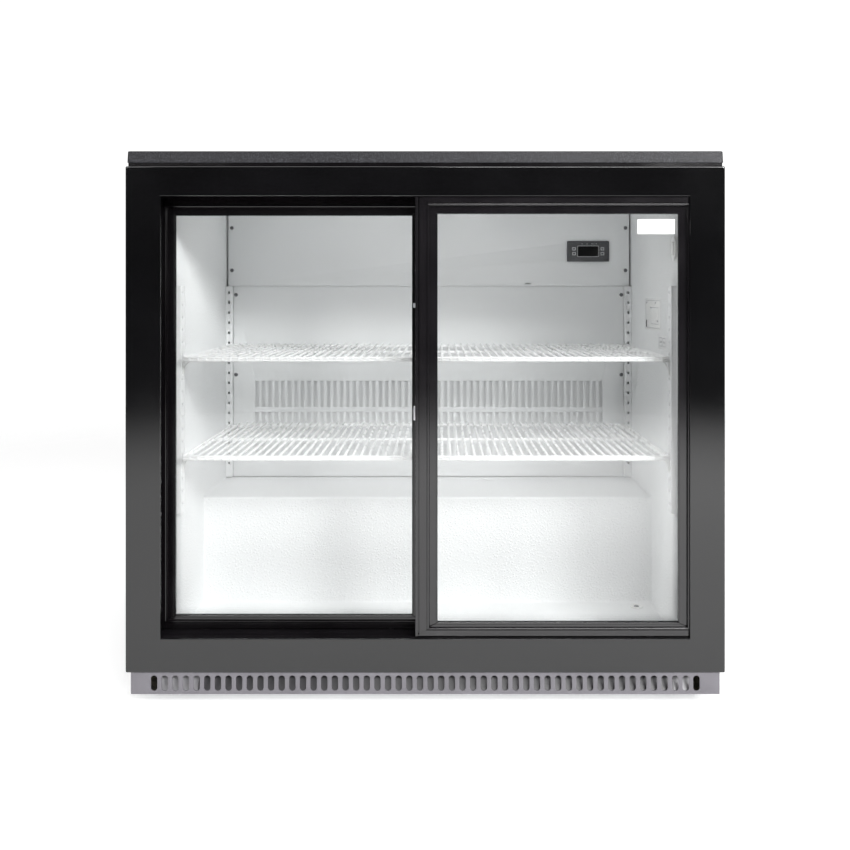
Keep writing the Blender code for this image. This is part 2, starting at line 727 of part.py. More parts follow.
def make_light():
    box("light_bar", (-0.300, -0.182, 0.7875), (0.300, -0.164, CABIN_CEILING - GAP), WHITE_PLASTIC)
    body = box(
        "light_switch_body",
        (SWITCH_FACE_X, SWITCH_Y - 0.0110, SWITCH_Z - 0.0200),
        (CABIN_X - GAP, SWITCH_Y + 0.0110, SWITCH_Z + 0.0200),
        WHITE_PLASTIC,
    )
    half_w, half_h = ROCKER[0] / 2, ROCKER[1] / 2
    pocket_w, pocket_h, pocket_back = half_w + 0.0005, half_h + 0.0008, ROCKER_X[1] + 0.0021
    low = (SWITCH_FACE_X - 0.01, SWITCH_Y - pocket_w, SWITCH_Z - pocket_h)
    cut_boxes(body, [(low, (pocket_back, SWITCH_Y + pocket_w, SWITCH_Z + pocket_h))])
    box(
        "light_switch_rocker",
        (ROCKER_X[0], SWITCH_Y - half_w, SWITCH_Z - half_h),
        (ROCKER_X[1], SWITCH_Y + half_w, SWITCH_Z + half_h),
        WHITE_PLASTIC,
        origin=(sum(ROCKER_X) / 2, SWITCH_Y, SWITCH_Z),
    )


# ---------------------------------------------------------------- machine compartment and feet


def make_compressor():
    """A welded steel pot on a round foot plate."""
    floor = BASE + GAP + 0.0015 + GAP
    pot_r, neck_r, plate_r = 0.072, 0.060, 0.084
    profile = [(0, 0.172), (0.030, 0.169), (0.056, 0.152), (pot_r, 0.118), (pot_r, 0.090), (0.076, 0.088)]
    profile += [(0.076, 0.082), (pot_r, 0.080), (pot_r, 0.034), (neck_r, 0.014), (neck_r, 0.004)]
    profile += [(plate_r, 0.004), (plate_r, 0), (0, 0)]
    part(turned("compressor", profile, (-0.260, 0.140, floor), steps=28), MACHINE_BLACK)


def make_condenser():
    """A finned block with a round shroud, and the arm that carries the fan's motor."""
    x, y, z = -0.080, 0.140, 0.124
    half = 0.088
    block = box("condenser", (x, y - half, z - half), (x + 0.035, y + half, z + half), MACHINE_BLACK)
    shroud = bmesh.new()
    add_cylinder(shroud, (x + 0.050, y, z), 0.082, 0.045, "X")
    boolean(block, cutter(object_of("condenser_shroud", shroud)), "UNION")
    bore = bmesh.new()
    add_cylinder(bore, (x + 0.060, y, z), 0.078, 0.048, "X")
    boolean(block, cutter(object_of("condenser_bore", bore)))
    arm = ((x + 0.0655, y - 0.008, z - 0.080), (x + 0.0695, y + 0.008, z + 0.080))
    boolean(block, cutter(boxes("condenser_arm", [arm])), "UNION")
    motor = bmesh.new()
    add_cylinder(motor, (x + 0.0925, y, z), 0.022, 0.048, "X")
    boolean(block, cutter(object_of("condenser_motor", motor)), "UNION")
    make_fan("condenser_fan_blade", (x + 0.0520, y, z), "X", 0.072, 5, 0.024, DARK_PLASTIC)


def foot_places():
    places = {}
    for row, y in FOOT_Y.items():
        for side, sign in (("left", -1), ("right", 1)):
            places[f"foot_{row}_{side}"] = (sign * FOOT_X, y)
    return places


def make_feet():
    """Levelling feet: a flared pad on a stem that passes through the base tray."""
    pad_top = BASE - 0.0006
    profile = [(0, 0.040), (0.005, 0.040), (0.005, pad_top), (0.013, pad_top), (0.015, 0.010)]
    profile += [(FOOT_R, 0.004), (FOOT_R, 0), (0, 0)]
    for name, (x, y) in foot_places().items():
        part(turned(name, profile, (x, y, 0), steps=20), DARK_PLASTIC)


make_base_tray()
make_side_panels()
make_back_panel()
make_rear_grille()
make_top_panel()
make_foam()
make_liner()
make_front_frame()
make_bottom_track()
make_kick_grille()
make_doors()
make_rear_air_panel()
make_evaporator_cover()
make_evaporator_coil()
make_evaporator_fan()
make_pilasters()
for shelf_name, shelf_level in SHELF_LEVELS.items():
    make_shelf("shelf_" + shelf_name, shelf_level)
    make_shelf_clips(shelf_name, shelf_level)
make_thermostat()
make_light()
make_compressor()
make_condenser()
make_feet()
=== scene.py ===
import math

import bmesh
import bpy
from mathutils import Matrix, Vector


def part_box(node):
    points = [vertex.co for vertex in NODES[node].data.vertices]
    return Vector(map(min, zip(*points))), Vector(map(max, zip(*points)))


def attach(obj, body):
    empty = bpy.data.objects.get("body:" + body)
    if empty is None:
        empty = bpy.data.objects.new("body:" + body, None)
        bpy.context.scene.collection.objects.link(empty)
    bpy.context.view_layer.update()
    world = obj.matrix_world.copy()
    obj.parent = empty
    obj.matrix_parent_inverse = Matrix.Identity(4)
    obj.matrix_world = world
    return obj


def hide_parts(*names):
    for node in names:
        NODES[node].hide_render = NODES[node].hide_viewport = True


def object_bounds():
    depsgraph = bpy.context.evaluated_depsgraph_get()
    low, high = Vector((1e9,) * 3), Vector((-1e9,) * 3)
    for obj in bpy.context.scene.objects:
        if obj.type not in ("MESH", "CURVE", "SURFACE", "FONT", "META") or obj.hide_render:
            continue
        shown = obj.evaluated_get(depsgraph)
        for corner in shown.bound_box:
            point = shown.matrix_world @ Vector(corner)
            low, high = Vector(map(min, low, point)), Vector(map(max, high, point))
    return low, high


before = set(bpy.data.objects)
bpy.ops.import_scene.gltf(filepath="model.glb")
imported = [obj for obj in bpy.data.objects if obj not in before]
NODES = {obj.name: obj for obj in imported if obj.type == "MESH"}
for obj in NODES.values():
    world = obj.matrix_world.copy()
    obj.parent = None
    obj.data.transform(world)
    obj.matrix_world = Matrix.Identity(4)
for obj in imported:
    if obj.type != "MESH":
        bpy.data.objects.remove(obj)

CAD_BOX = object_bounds()
FRONT = CAD_BOX[0].y


# ---------------------------------------------------------------- materials


class Shader:
    """A node material that is built up step by step around one Principled shader."""

    def __init__(self, name, colour, roughness, metallic=0.0):
        self.material = bpy.data.materials.new(name)
        self.material.use_nodes = True
        self.tree = self.material.node_tree
        self.bsdf = self.tree.nodes["Principled BSDF"]
        self.colour = colour
        self.bsdf.inputs["Base Color"].default_value = (*colour, 1)
        self.bsdf.inputs["Roughness"].default_value = roughness
        self.bsdf.inputs["Metallic"].default_value = metallic
        self.place = self.tree.nodes.new("ShaderNodeTexCoord").outputs["Object"]
        self.normal = None

    def node(self, kind, inputs=(), **settings):
        made = self.tree.nodes.new(kind)
        for key, value in settings.items():
            setattr(made, key, value)
        for socket, value in dict(inputs).items():
            if isinstance(value, bpy.types.NodeSocket):
                self.tree.links.new(value, made.inputs[socket])
            else:
                made.inputs[socket].default_value = value
        return made

    def stretched(self, scale):
        """Object coordinates, multiplied along each axis."""
        return self.node("ShaderNodeMapping", {"Vector": self.place, "Scale": scale}).outputs[0]

    def noise(self, scale, detail=3.0, along=(1, 1, 1)):
        inputs = {"Vector": self.stretched(along), "Scale": scale, "Detail": detail}
        return self.node("ShaderNodeTexNoise", inputs).outputs["Fac"]

    def cells(self, scale, output="Distance"):
        inputs = {"Vector": self.stretched((1, 1, 1)), "Scale": scale}
        return self.node("ShaderNodeTexVoronoi", inputs).outputs[output]

    def ranged(self, value, low, high, to_low, to_high):
        inputs = {0: value, 1: low, 2: high, 3: to_low, 4: to_high}
        return self.node("ShaderNodeMapRange", inputs, interpolation_type="SMOOTHSTEP").outputs[0]

    def maths(self, operation, first, second):
        return self.node("ShaderNodeMath", {0: first, 1: second}, operation=operation).outputs[0]

    def mottle(self, factor, other):
        """Blends the base colour towards another by a factor."""
        base = self.bsdf.inputs["Base Color"]
        start = base.links[0].from_socket if base.is_linked else (*self.colour, 1)
        mix = self.node("ShaderNodeMix", {0: factor, 6: start, 7: (*other, 1)}, data_type="RGBA")
        self.tree.links.new(mix.outputs[2], base)
        return self

    def shade(self, factor, strength):
        return self.mottle(factor, [channel * strength for channel in self.colour])

    def rough(self, factor, low, high):
        self.tree.links.new(self.ranged(factor, 0.25, 0.75, low, high), self.bsdf.inputs["Roughness"])
        return self

    def bump(self, height, depth, strength=1.0):
        """Adds relief of the given depth in metres, on top of any before it."""
        inputs = {"Height": height, "Distance": depth, "Strength": strength}
        if self.normal:
            inputs["Normal"] = self.normal
        self.normal = self.node("ShaderNodeBump", inputs).outputs[0]
        self.tree.links.new(self.normal, self.bsdf.inputs["Normal"])
        return self

    def worn(self, pattern, low, high, depth, strength):
        """Lets one pattern drive the roughness and the relief together."""
        return self.rough(pattern, low, high).bump(pattern, depth, strength)

    def coat(self, weight, roughness):
        return self.set(("Coat Weight", weight), ("Coat Roughness", roughness))

    def set(self, *values):
        for socket, value in values:
            self.bsdf.inputs[socket].default_value = value
        return self


def patchy(name, colour, roughness, patches, tint, rough, start=0.35):
    """A shader whose broad patches differ in shade and roughness."""
    s = Shader(name, colour, roughness)
    spots = s.noise(*patches)
    return s.shade(s.ranged(spots, start, 0.7, 0, 1), tint).rough(spots, *rough)


def semi_gloss_black():
    """Powder coat: faint orange peel, and broad patches a little duller than the rest."""
    s = patchy("semi_gloss_black", (0.0026, 0.0026, 0.0029), 0.11, (7, 4), 1.5, (0.09, 0.13))
    return s.bump(s.noise(420, 2), 0.00003, 0.12).coat(0.32, 0.07).material


def textured_black():
    """Pre-painted steel of the side panels: matt, with a fine leather-like emboss."""
    s = patchy("textured_black", (0.008, 0.008, 0.009), 0.48, (5, 3), 1.4, (0.44, 0.54))
    return s.bump(s.cells(700), 0.00008, 0.5).material


def door_black(name, colour, coat):
    """Extruded black profile with very fine lengthwise drawing lines."""
    s = patchy(name, colour, 0.30, (12, 3), 1.4, (0.12, 0.18))
    return s.bump(s.noise(900, 2, (1, 1, 0.03)), 0.00002, 0.15).coat(coat, 0.1).material


def rubber_black():
    s = Shader("rubber_black", (0.006, 0.006, 0.006), 0.6)
    return s.worn(s.noise(1500, 2), 0.5, 0.7, 0.00003, 0.4).material


def worktop_skin():
    """Dark grey laminate, embossed and speckled with lighter and darker flecks."""
    s = Shader("worktop_skin", (0.014, 0.014, 0.016), 0.40)
    pebbles = s.cells(520)
    flecks = s.noise(900, 4)
    clouds = s.noise(5, 3)
    s.mottle(s.ranged(flecks, 0.54, 0.62, 0, 1), (0.075, 0.075, 0.086))
    s.mottle(s.ranged(flecks, 0.46, 0.38, 0, 1), (0.012, 0.012, 0.013))
    s.mottle(s.ranged(clouds, 0.4, 0.7, 0, 0.35), (0.04, 0.04, 0.044))
    s.set(("Specular IOR Level", 0.22))
    return s.worn(pebbles, 0.34, 0.52, 0.00025, 0.9).coat(0.08, 0.34).material


def stucco_white():
    """White pre-painted aluminium with a stucco emboss: small irregular raised islands."""
    s = Shader("stucco_white", (0.86, 0.87, 0.875), 0.36)
    islands = s.cells(210)
    fine = s.noise(330, 3)
    relief = s.maths("ADD", s.ranged(islands, 0.12, 0.5, 1, 0), s.maths("MULTIPLY", fine, 0.6))
    # painted shade: the low ground between the islands, away from their raised middles, is darkened by up to
    # three per cent, as shade in the hollows
    s.shade(s.ranged(islands, 0.35, 0.7, 0, 0.30), 0.90).rough(fine, 0.28, 0.46)
    return s.bump(relief, 0.00045, 0.9).material


def white_paint(name="white_paint", colour=(0.85, 0.86, 0.865), peel=0.35):
    s = patchy(name, colour, 0.38, (9, 3), 0.965, (0.32, 0.44), 0.4)
    return s.bump(s.noise(600, 2), 0.00003, peel).material


def white_coating():
    """Polyethylene dipped over wire: thick, soft gloss, with slow waves along its length."""
    s = Shader("white_coating", (0.93, 0.93, 0.935), 0.30)
    s.set(("Subsurface Weight", 0.10), ("Subsurface Radius", (0.002, 0.002, 0.002)))
    return s.worn(s.noise(60, 2), 0.24, 0.38, 0.0003, 0.35).material


def kick_grey():
    """Light lilac-grey moulding, satin, with a fine grain."""
    s = patchy("kick_grey", (0.160, 0.153, 0.170), 0.42, (14, 3), 0.9, (0.36, 0.5))
    return s.bump(s.noise(1200, 2), 0.00004, 0.4).material


def dark_moulding(name="dark_moulding", colour=(0.028, 0.028, 0.030)):
    s = patchy(name, colour, 0.45, (20, 3), 1.35, (0.38, 0.55))
    return s.bump(s.noise(1800, 2), 0.00004, 0.5).material


def white_moulding():
    s = patchy("white_moulding", (0.84, 0.84, 0.83), 0.32, (25, 2), 0.96, (0.26, 0.40), 0.4)
    return s.bump(s.noise(1500, 2), 0.00003, 0.3).material


def galvanised():
    """Zinc spangle: flat crystals that each catch the light differently."""
    s = Shader("galvanised", (0.50, 0.51, 0.52), 0.38, 1.0)
    shade = s.node("ShaderNodeSeparateColor", {0: s.cells(110, "Color")}).outputs[0]
    s.mottle(s.ranged(shade, 0, 1, 0, 0.6), (0.33, 0.34, 0.36)).rough(shade, 0.28, 0.5)
    return s.bump(s.noise(300, 3), 0.00004, 0.4).material


def satin_metal(name, colour, along=(1, 1, 0.02)):
    """Metal with drawing lines along one axis."""
    s = Shader(name, colour, 0.3, 1.0)
    lines = s.noise(700, 3, along)
    s.shade(s.ranged(lines, 0.3, 0.7, 0, 1), 0.85)
    return s.worn(lines, 0.22, 0.42, 0.00003, 0.4).material


def chrome():
    s = Shader("chrome", (0.75, 0.75, 0.77), 0.12, 1.0)
    return s.worn(s.noise(120, 3), 0.08, 0.2, 0.00002, 0.2).material


def foam():
    """Rigid polyurethane: cream, with a fine open-cell surface."""
    s = Shader("foam", (0.72, 0.60, 0.36), 0.9)
    s.shade(s.ranged(s.noise(25, 4), 0.35, 0.7, 0, 1), 0.82)
    return s.worn(s.cells(900), 0.8, 0.95, 0.0003, 0.8).material


def machine_enamel():
    s = Shader("machine_enamel", (0.012, 0.012, 0.013), 0.35)
    dust = s.noise(40, 5)
    s.mottle(s.ranged(dust, 0.55, 0.8, 0, 0.35), (0.09, 0.085, 0.08)).rough(dust, 0.25, 0.55)
    return s.bump(s.noise(500, 2), 0.00008, 0.4).material


def label_paper():
    """Blank label stock: white film with a light, even tooth."""
    s = Shader("label_paper", (0.90, 0.90, 0.89), 0.42)
    s.shade(s.ranged(s.noise(80, 2), 0.4, 0.7, 0, 1), 0.97)
    return s.bump(s.noise(2500, 2), 0.00002, 0.3).material


def label_grey():
    s = Shader("label_grey", (0.50, 0.51, 0.53), 0.5)
    s.shade(s.ranged(s.noise(900, 2), 0.4, 0.6, 0, 1), 0.88)
    return s.rough(s.noise(90, 2), 0.4, 0.6).material


def display_window():
    s = Shader("display_window", (0.0035, 0.0035, 0.004), 0.12)
    return s.worn(s.noise(90, 3), 0.08, 0.2, 0.00002, 0.2).coat(1.0, 0.06).material


def icon_print():
    s = Shader("icon_print", (0.62, 0.63, 0.64), 0.5)
    s.shade(s.ranged(s.noise(1500, 2), 0.4, 0.7, 0, 1), 0.8)
    return s.rough(s.noise(300, 2), 0.4, 0.6).material


def led_diffuser():
    s = Shader("led_diffuser", (0.9, 0.9, 0.88), 0.4)
    s.set(("Emission Color", (1, 0.98, 0.95, 1)), ("Emission Strength", 1.2))
    return s.worn(s.noise(400, 1, (1, 0.05, 0.05)), 0.3, 0.5, 0.0001, 0.4).material


def window_glass():
    """Clear float glass for a thin pane: it lets light straight through and mirrors by its angle."""
    s = Shader("window_glass", (0.93, 0.96, 0.95), 0.02)
    facing = s.node("ShaderNodeLayerWeight", {"Blend": 0.5}).outputs["Facing"]
    edge = s.maths("MULTIPLY", s.maths("POWER", facing, 5.0), 0.96)
    mirror_share = s.maths("ADD", edge, 0.04)
    clear = s.node("ShaderNodeBsdfTransparent", {"Color": (0.988, 0.990, 0.989, 1)})
    mirror = s.node("ShaderNodeBsdfAnisotropic", {"Color": (1, 1, 1, 1), "Roughness": 0.03})
    mixed = s.node("ShaderNodeMixShader", {0: mirror_share, 1: clear.outputs[0], 2: mirror.outputs[0]})
    s.tree.links.new(mixed.outputs[0], s.tree.nodes["Material Output"].inputs["Surface"])
    s.tree.nodes.remove(s.bsdf)
    return s.material


def glass_edge():
    """The ground green edge of a pane."""
    s = Shader("glass_edge", (0.10, 0.22, 0.19), 0.5)
    return s.worn(s.noise(1500, 2), 0.4, 0.6, 0.00004, 0.5).material


MATERIALS = {
    "black": semi_gloss_black(),
    "door": door_black("door_black", (0.0065, 0.0058, 0.0068), 0.35),
    # painted shade: a darker, uncoated copy of the door paint, so the rear door looks shaded behind the
    # front one; the worktop joint also takes it as its dark joint colour
    "rear_door": door_black("door_black_painted_shade", (0.0035, 0.0030, 0.0035), 0.0),
    "rubber": rubber_black(),
    "worktop": worktop_skin(),
    "stucco": stucco_white(),
    "white_sheet": white_paint(),
    "wire": white_coating(),
    "kick": kick_grey(),
    # painted shade and painted light: the baffle behind the kick slots comes in a dark copy of one paint for
    # its middle and a lighter copy for its two ends, so the slots look shaded in the middle and lit at the
    # ends
    "kick_zinc": white_paint("kick_zinc", (0.055, 0.053, 0.058)),
    "kick_end": white_paint("kick_end", (0.30, 0.295, 0.31)),
    "dark": dark_moulding(),
    "bezel": dark_moulding("bezel_grey", (0.062, 0.062, 0.066)),
    "white_plastic": white_moulding(),
    "galvanised": galvanised(),
    "aluminium": satin_metal("aluminium", (0.62, 0.63, 0.64)),
    "copper": satin_metal("copper", (0.75, 0.42, 0.28), (1, 0.05, 1)),
    "side": textured_black(),
    "chrome": chrome(),
    "screw": satin_metal("screw_steel", (0.20, 0.20, 0.21)),
    "foam": foam(),
    "machine": machine_enamel(),
    "label": label_paper(),
    "label_grey": label_grey(),
    "paper": white_paint("paper", (0.95, 0.95, 0.95), 0.1),
    "icon_dark": white_paint("label_ink", (0.20, 0.20, 0.22), 0.1),
    # painted light: a brighter copy of the white paint, so the front pilasters look lit
    "flange": white_paint("flange_white_painted_light", (0.94, 0.945, 0.95)),
    "window": display_window(),
    "icon": icon_print(),
    "led": led_diffuser(),
    "glass": window_glass(),
    "glass_edge": glass_edge(),
}


# ---------------------------------------------------------------- modelling helpers


def smoothed(mesh, angle=32):
    mesh.shade_smooth()
    mesh.set_sharp_from_angle(angle=math.radians(angle))


def piece(name, bm, material, body="cabinet", replaces=(), angle=32):
    """A finished piece from a bmesh: linked, smooth, in its material, riding on its body."""
    bmesh.ops.recalc_face_normals(bm, faces=bm.faces)
    mesh = bpy.data.meshes.new(name)
    bm.to_mesh(mesh)
    bm.free()
    smoothed(mesh, angle)
    obj = bpy.data.objects.new(name, mesh)
    bpy.context.scene.collection.objects.link(obj)
    for key in [material] if isinstance(material, str) else material:
        mesh.materials.append(MATERIALS[key])
    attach(obj, body)
    if replaces:
        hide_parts(*replaces)
    return obj


def rounded(obj, width, segments=3, angle=30):
    bevel = obj.modifiers.new("edges", "BEVEL")
    bevel.width = width
    bevel.segments = segments
    bevel.limit_method = "ANGLE"
    bevel.angle_limit = math.radians(angle)
    bevel.harden_normals = True


def add_box(bm, low, high):
    centre = (Vector(low) + Vector(high)) / 2
    matrix = Matrix.LocRotScale(centre, None, Vector(high) - Vector(low))
    bmesh.ops.create_cube(bm, matrix=matrix)


def flattened(obj):
    """Keeps large faces shading flat beside their narrow rounded edges."""
    normals = obj.modifiers.new("normals", "WEIGHTED_NORMAL")
    normals.keep_sharp = True


def finish_cad(node, key):
    """Gives its material to a CAD node that keeps its own shape."""
    data = NODES[node].data
    data.materials.clear()
    data.materials.append(MATERIALS[key])
    return data


def centre_of(node):
    low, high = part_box(node)
    return (low + high) / 2


def loft(bm, rings, closed=False, capped=False):
    """Joins rings of points, one after another, into a skin."""
    loops = [[bm.verts.new(point) for point in ring] for ring in rings]
    pairs = list(zip(loops, loops[1:]))
    if closed:
        pairs.append((loops[-1], loops[0]))
    for first, second in pairs:
        count = len(first)
        for i in range(count):
            j = (i + 1) % count
            bm.faces.new((first[i], first[j], second[j], second[i]))
    if capped:
        bm.faces.new(list(reversed(loops[0])))
        bm.faces.new(loops[-1])


def rounded_rect(low_u, high_u, low_v, high_v, radius, steps=5):
    """Points round a rectangle, anticlockwise, each corner an arc."""
    points = []
    corners = ((high_u, high_v, 0), (low_u, high_v, 90), (low_u, low_v, 180), (high_u, low_v, 270))
    for u, v, start in corners:
        centre_u = u - math.copysign(radius, u - (low_u + high_u) / 2)
        centre_v = v - math.copysign(radius, v - (low_v + high_v) / 2)
        for step in range(steps + 1):
            turn = math.radians(start + 90 * step / steps)
            points.append((centre_u + radius * math.cos(turn), centre_v + radius * math.sin(turn)))
    return points


def slot_outline(u, v, width, height, radius, steps=5):
    return rounded_rect(u - width / 2, u + width / 2, v - height / 2, v + height / 2, radius, steps)


def face_outline(node, grow_u, grow_v, radius, steps=5, across="x"):
    """A node's outline in X (or Y) and Z, grown by a margin."""
    low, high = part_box(node)
    low_u, high_u = getattr(low, across), getattr(high, across)
    return rounded_rect(low_u - grow_u, high_u + grow_u, low.z - grow_v, high.z + grow_v, radius, steps)


def sheet_with_holes(outline, holes, thickness, edge=0.0002):
    """A flat sheet in its own X and Y, pierced by holes, with eased edges, as a mesh."""
    curve = bpy.data.curves.new("sheet", "CURVE")
    curve.dimensions = "2D"
    curve.fill_mode = "BOTH"
    curve.extrude = thickness / 2 - edge
    curve.bevel_depth = edge
    curve.bevel_resolution = 1
    curve.offset = -edge
    for points in [outline, *holes]:
        spline = curve.splines.new("POLY")
        spline.points.add(len(points) - 1)
        for spot, (u, v) in zip(spline.points, points):
            spot.co = (u, v, 0, 1)
        spline.use_cyclic_u = True
    obj = bpy.data.objects.new("sheet", curve)
    bpy.context.scene.collection.objects.link(obj)
    mesh = bpy.data.meshes.new_from_object(obj.evaluated_get(bpy.context.evaluated_depsgraph_get()))
    bpy.data.objects.remove(obj)
    bpy.data.curves.remove(curve)
    bm = bmesh.new()
    bm.from_mesh(mesh)
    bmesh.ops.remove_doubles(bm, verts=bm.verts, dist=0.00001)
    bpy.data.meshes.remove(mesh)
    return bm


def stand_up(bm, y):
    """Turns a sheet from its own plane to face the front, its middle at y."""
    upright = Matrix.Translation((0, y, 0)) @ Matrix.Rotation(math.pi / 2, 4, "X")
    bmesh.ops.transform(bm, verts=bm.verts, matrix=upright)
    return bm


def face_sideways(bm, x):
    """Turns a sheet drawn in (Y, Z) to face along X, its middle at x."""
    turn = Matrix(((0, 0, 1, x), (1, 0, 0, 0), (0, 1, 0, 0), (0, 0, 0, 1)))
    bmesh.ops.transform(bm, verts=bm.verts, matrix=turn)
    return bm


def tube(bm, path, radius, sides=12):
    """A round bar along a path of points, with softly rounded ends."""
    points = [Vector(p) for p in path]
    rings = []
    side = None
    for i, point in enumerate(points):
        ahead = points[min(i + 1, len(points) - 1)] - points[max(i - 1, 0)]
        ahead.normalize()
        if side is None:
            side = ahead.orthogonal().normalized()
        side = (side - ahead * side.dot(ahead)).normalized()
        up = ahead.cross(side)
        spokes = []
        for k in range(sides):
            turn = 2 * math.pi * k / sides
            spokes.append(side * math.cos(turn) + up * math.sin(turn))
        if i == 0:
            for back, share in ((1.0, 0.35), (0.5, 0.85)):
                rings.append([point - ahead * radius * 0.6 * back + s * radius * share for s in spokes])
        rings.append([point + s * radius for s in spokes])
        if i == len(points) - 1:
            for back, share in ((0.5, 0.85), (1.0, 0.35)):
                rings.append([point + ahead * radius * 0.6 * back + s * radius * share for s in spokes])
    loft(bm, rings, capped=True)


def turned(bm, profile, centre, axis="Z", steps=48):
    """A solid turned from (radius, height) points, listed from one end to the other."""
    turn = {
        "Z": Matrix.Identity(4),
        "Y": Matrix.Rotation(math.pi / 2, 4, "X"),
        "X": Matrix.Rotation(math.pi / 2, 4, "Y"),
    }[axis]
    place = Matrix.Translation(centre) @ turn
    rings = []
    for radius, height in profile:
        ring = []
        for k in range(steps):
            angle = 2 * math.pi * k / steps
            ring.append(place @ Vector((radius * math.cos(angle), radius * math.sin(angle), height)))
        rings.append(ring)
    loft(bm, rings, capped=True)


def pan_screw(bm, centre, axis, radius=0.0042):
    """A domed cross-head screw, seen from the side that the axis points to."""
    domed = [(radius, 0)]
    for step in range(1, 5):
        turn = math.pi / 2 * step / 5
        domed.append((radius * math.cos(turn), 0.0020 * math.sin(turn)))
    tilt = Vector((0, 0, 1)).rotation_difference(Vector(axis)).to_matrix().to_4x4()
    place = Matrix.Translation(centre) @ tilt
    rings = []
    for r, h in [*domed, (radius * 0.2, 0.0014)]:
        ring = []
        for k in range(16):
            share = 0.55 if r < radius * 0.5 and k % 4 == 2 else 1
            angle = 2 * math.pi * k / 16
            ring.append(place @ Vector((r * share * math.cos(angle), r * share * math.sin(angle), h)))
        rings.append(ring)
    loft(bm, rings, capped=True)


# ---------------------------------------------------------------- cabinet shell


def make_front_frame():
    """The black face frame: a hollow section whose inside holds the doors' two lanes."""
    low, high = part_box("front_frame")
    door_low, door_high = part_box("bottom_track")
    front, back = low.y, high.y
    lane_front = door_low.y - 0.0003
    lane_back = door_high.y + 0.0003
    opening = (0.397, 0.110, 0.774)
    pocket = (door_high.x + 0.0003, door_low.z - 0.0003, 0.7862)
    mouth = (0.405, 0.110, 0.7862)
    outer = (high.x, low.z, high.z)
    ease, chamfer = 0.0022, 0.0011

    def ring(size, y, inset=0.0, radius=0.0004):
        half, bottom, top = size
        points = rounded_rect(-half + inset, half - inset, bottom + inset, top - inset, radius)
        return [(u, y, v) for u, v in points]

    rings = [ring(outer, back, 0, 0.0022)]
    for step in range(5):
        turn = math.radians(90 * step / 4)
        rings.append(ring(outer, front + ease * (1 - math.sin(turn)), ease * (1 - math.cos(turn)), 0.0022))
    rings.append(ring(opening, front, -chamfer))
    rings.append(ring(opening, front + chamfer * 0.35, -chamfer * 0.35))
    rings.append(ring(opening, front + chamfer, 0))
    rings.append(ring(opening, lane_front))
    rings += [ring(pocket, lane_front), ring(pocket, lane_back), ring(mouth, lane_back), ring(mouth, back)]
    bm = bmesh.new()
    loft(bm, rings, closed=True)
    flattened(piece("front_frame_skin", bm, "black", replaces=["front_frame"]))
    bm = bmesh.new()
    rib_y = (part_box("front_door_rail_top")[1].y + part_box("rear_door_rail_top")[0].y) / 2
    add_box(bm, (-0.412, rib_y - 0.0006, 0.7840), (0.412, rib_y + 0.0006, 0.7861))
    rounded(piece("header_rib", bm, "door"), 0.0003)


def make_worktop():
    """The top panel: a slab with eased edges over a shadow groove and a narrow folded lip."""
    low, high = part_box("top_panel")
    top = high.z

    def ring(inset, z, radius=0.003):
        points = rounded_rect(low.x + inset, high.x - inset, low.y + inset, high.y - inset, radius, 4)
        return [(u, v, z) for u, v in points]

    ease = 0.0014
    underside = low.z + 0.0050
    draw = 0.0008
    rings = [ring(0.012, underside), ring(0.0010, underside), ring(0.0002, underside + 0.0006)]
    for step in range(5):
        turn = math.radians(90 * step / 4)
        rings.append(ring(draw + ease * (1 - math.cos(turn)), top - ease * (1 - math.sin(turn))))
    bm = bmesh.new()
    loft(bm, rings, capped=True)
    flattened(piece("worktop_slab", bm, "worktop", replaces=["top_panel"]))
    bm = bmesh.new()
    loft(bm, [ring(0.0012, low.z), ring(0.0012, underside + 0.0001)], capped=True)
    piece("worktop_joint", bm, "rear_door")


def make_side_panels():
    for side in ("left", "right"):
        low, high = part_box("side_panel_" + side)
        bm = bmesh.new()
        add_box(bm, low, high)
        obj = piece(f"side_skin_{side}", bm, "side", replaces=["side_panel_" + side])
        rounded(obj, 0.0005, 2)
        bm = bmesh.new()
        outward = math.copysign(1, low.x)
        inner = high.x - 0.0022 if outward > 0 else low.x + 0.0022
        for z in (0.050, 0.300, 0.550, 0.790):
            pan_screw(bm, (inner, high.y - 0.010, z), (outward, 0, 0), 0.0036)
        piece(f"side_screws_{side}", bm, "machine")


def make_back():
    low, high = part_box("back_panel")
    bm = bmesh.new()
    add_box(bm, low, (high.x, high.y - 0.0002, high.z))
    obj = piece("back_skin", bm, "galvanised", replaces=["back_panel"])
    rounded(obj, 0.0004, 2)
    bm = bmesh.new()
    margin, head = 0.012, 0.0020
    left, right = low.x + margin, high.x - margin
    spots = [(x, z) for x in (left, -0.15, 0.15, right) for z in (low.z + margin, high.z - margin)]
    spots += [(x, (low.z + high.z) / 2) for x in (left, right)]
    for x, z in spots:
        pan_screw(bm, (x, high.y - head, z), (0, 1, 0))
    piece("back_screws", bm, "chrome")


# Round the section of a pressed hood: (share of its reach, height over the slot's middle).
HOOD = ((0, 0.0078), (0.7, 0.0062), (1, 0.0030), (0.86, 0.0028), (0.5, 0.0056), (0, 0.0066))


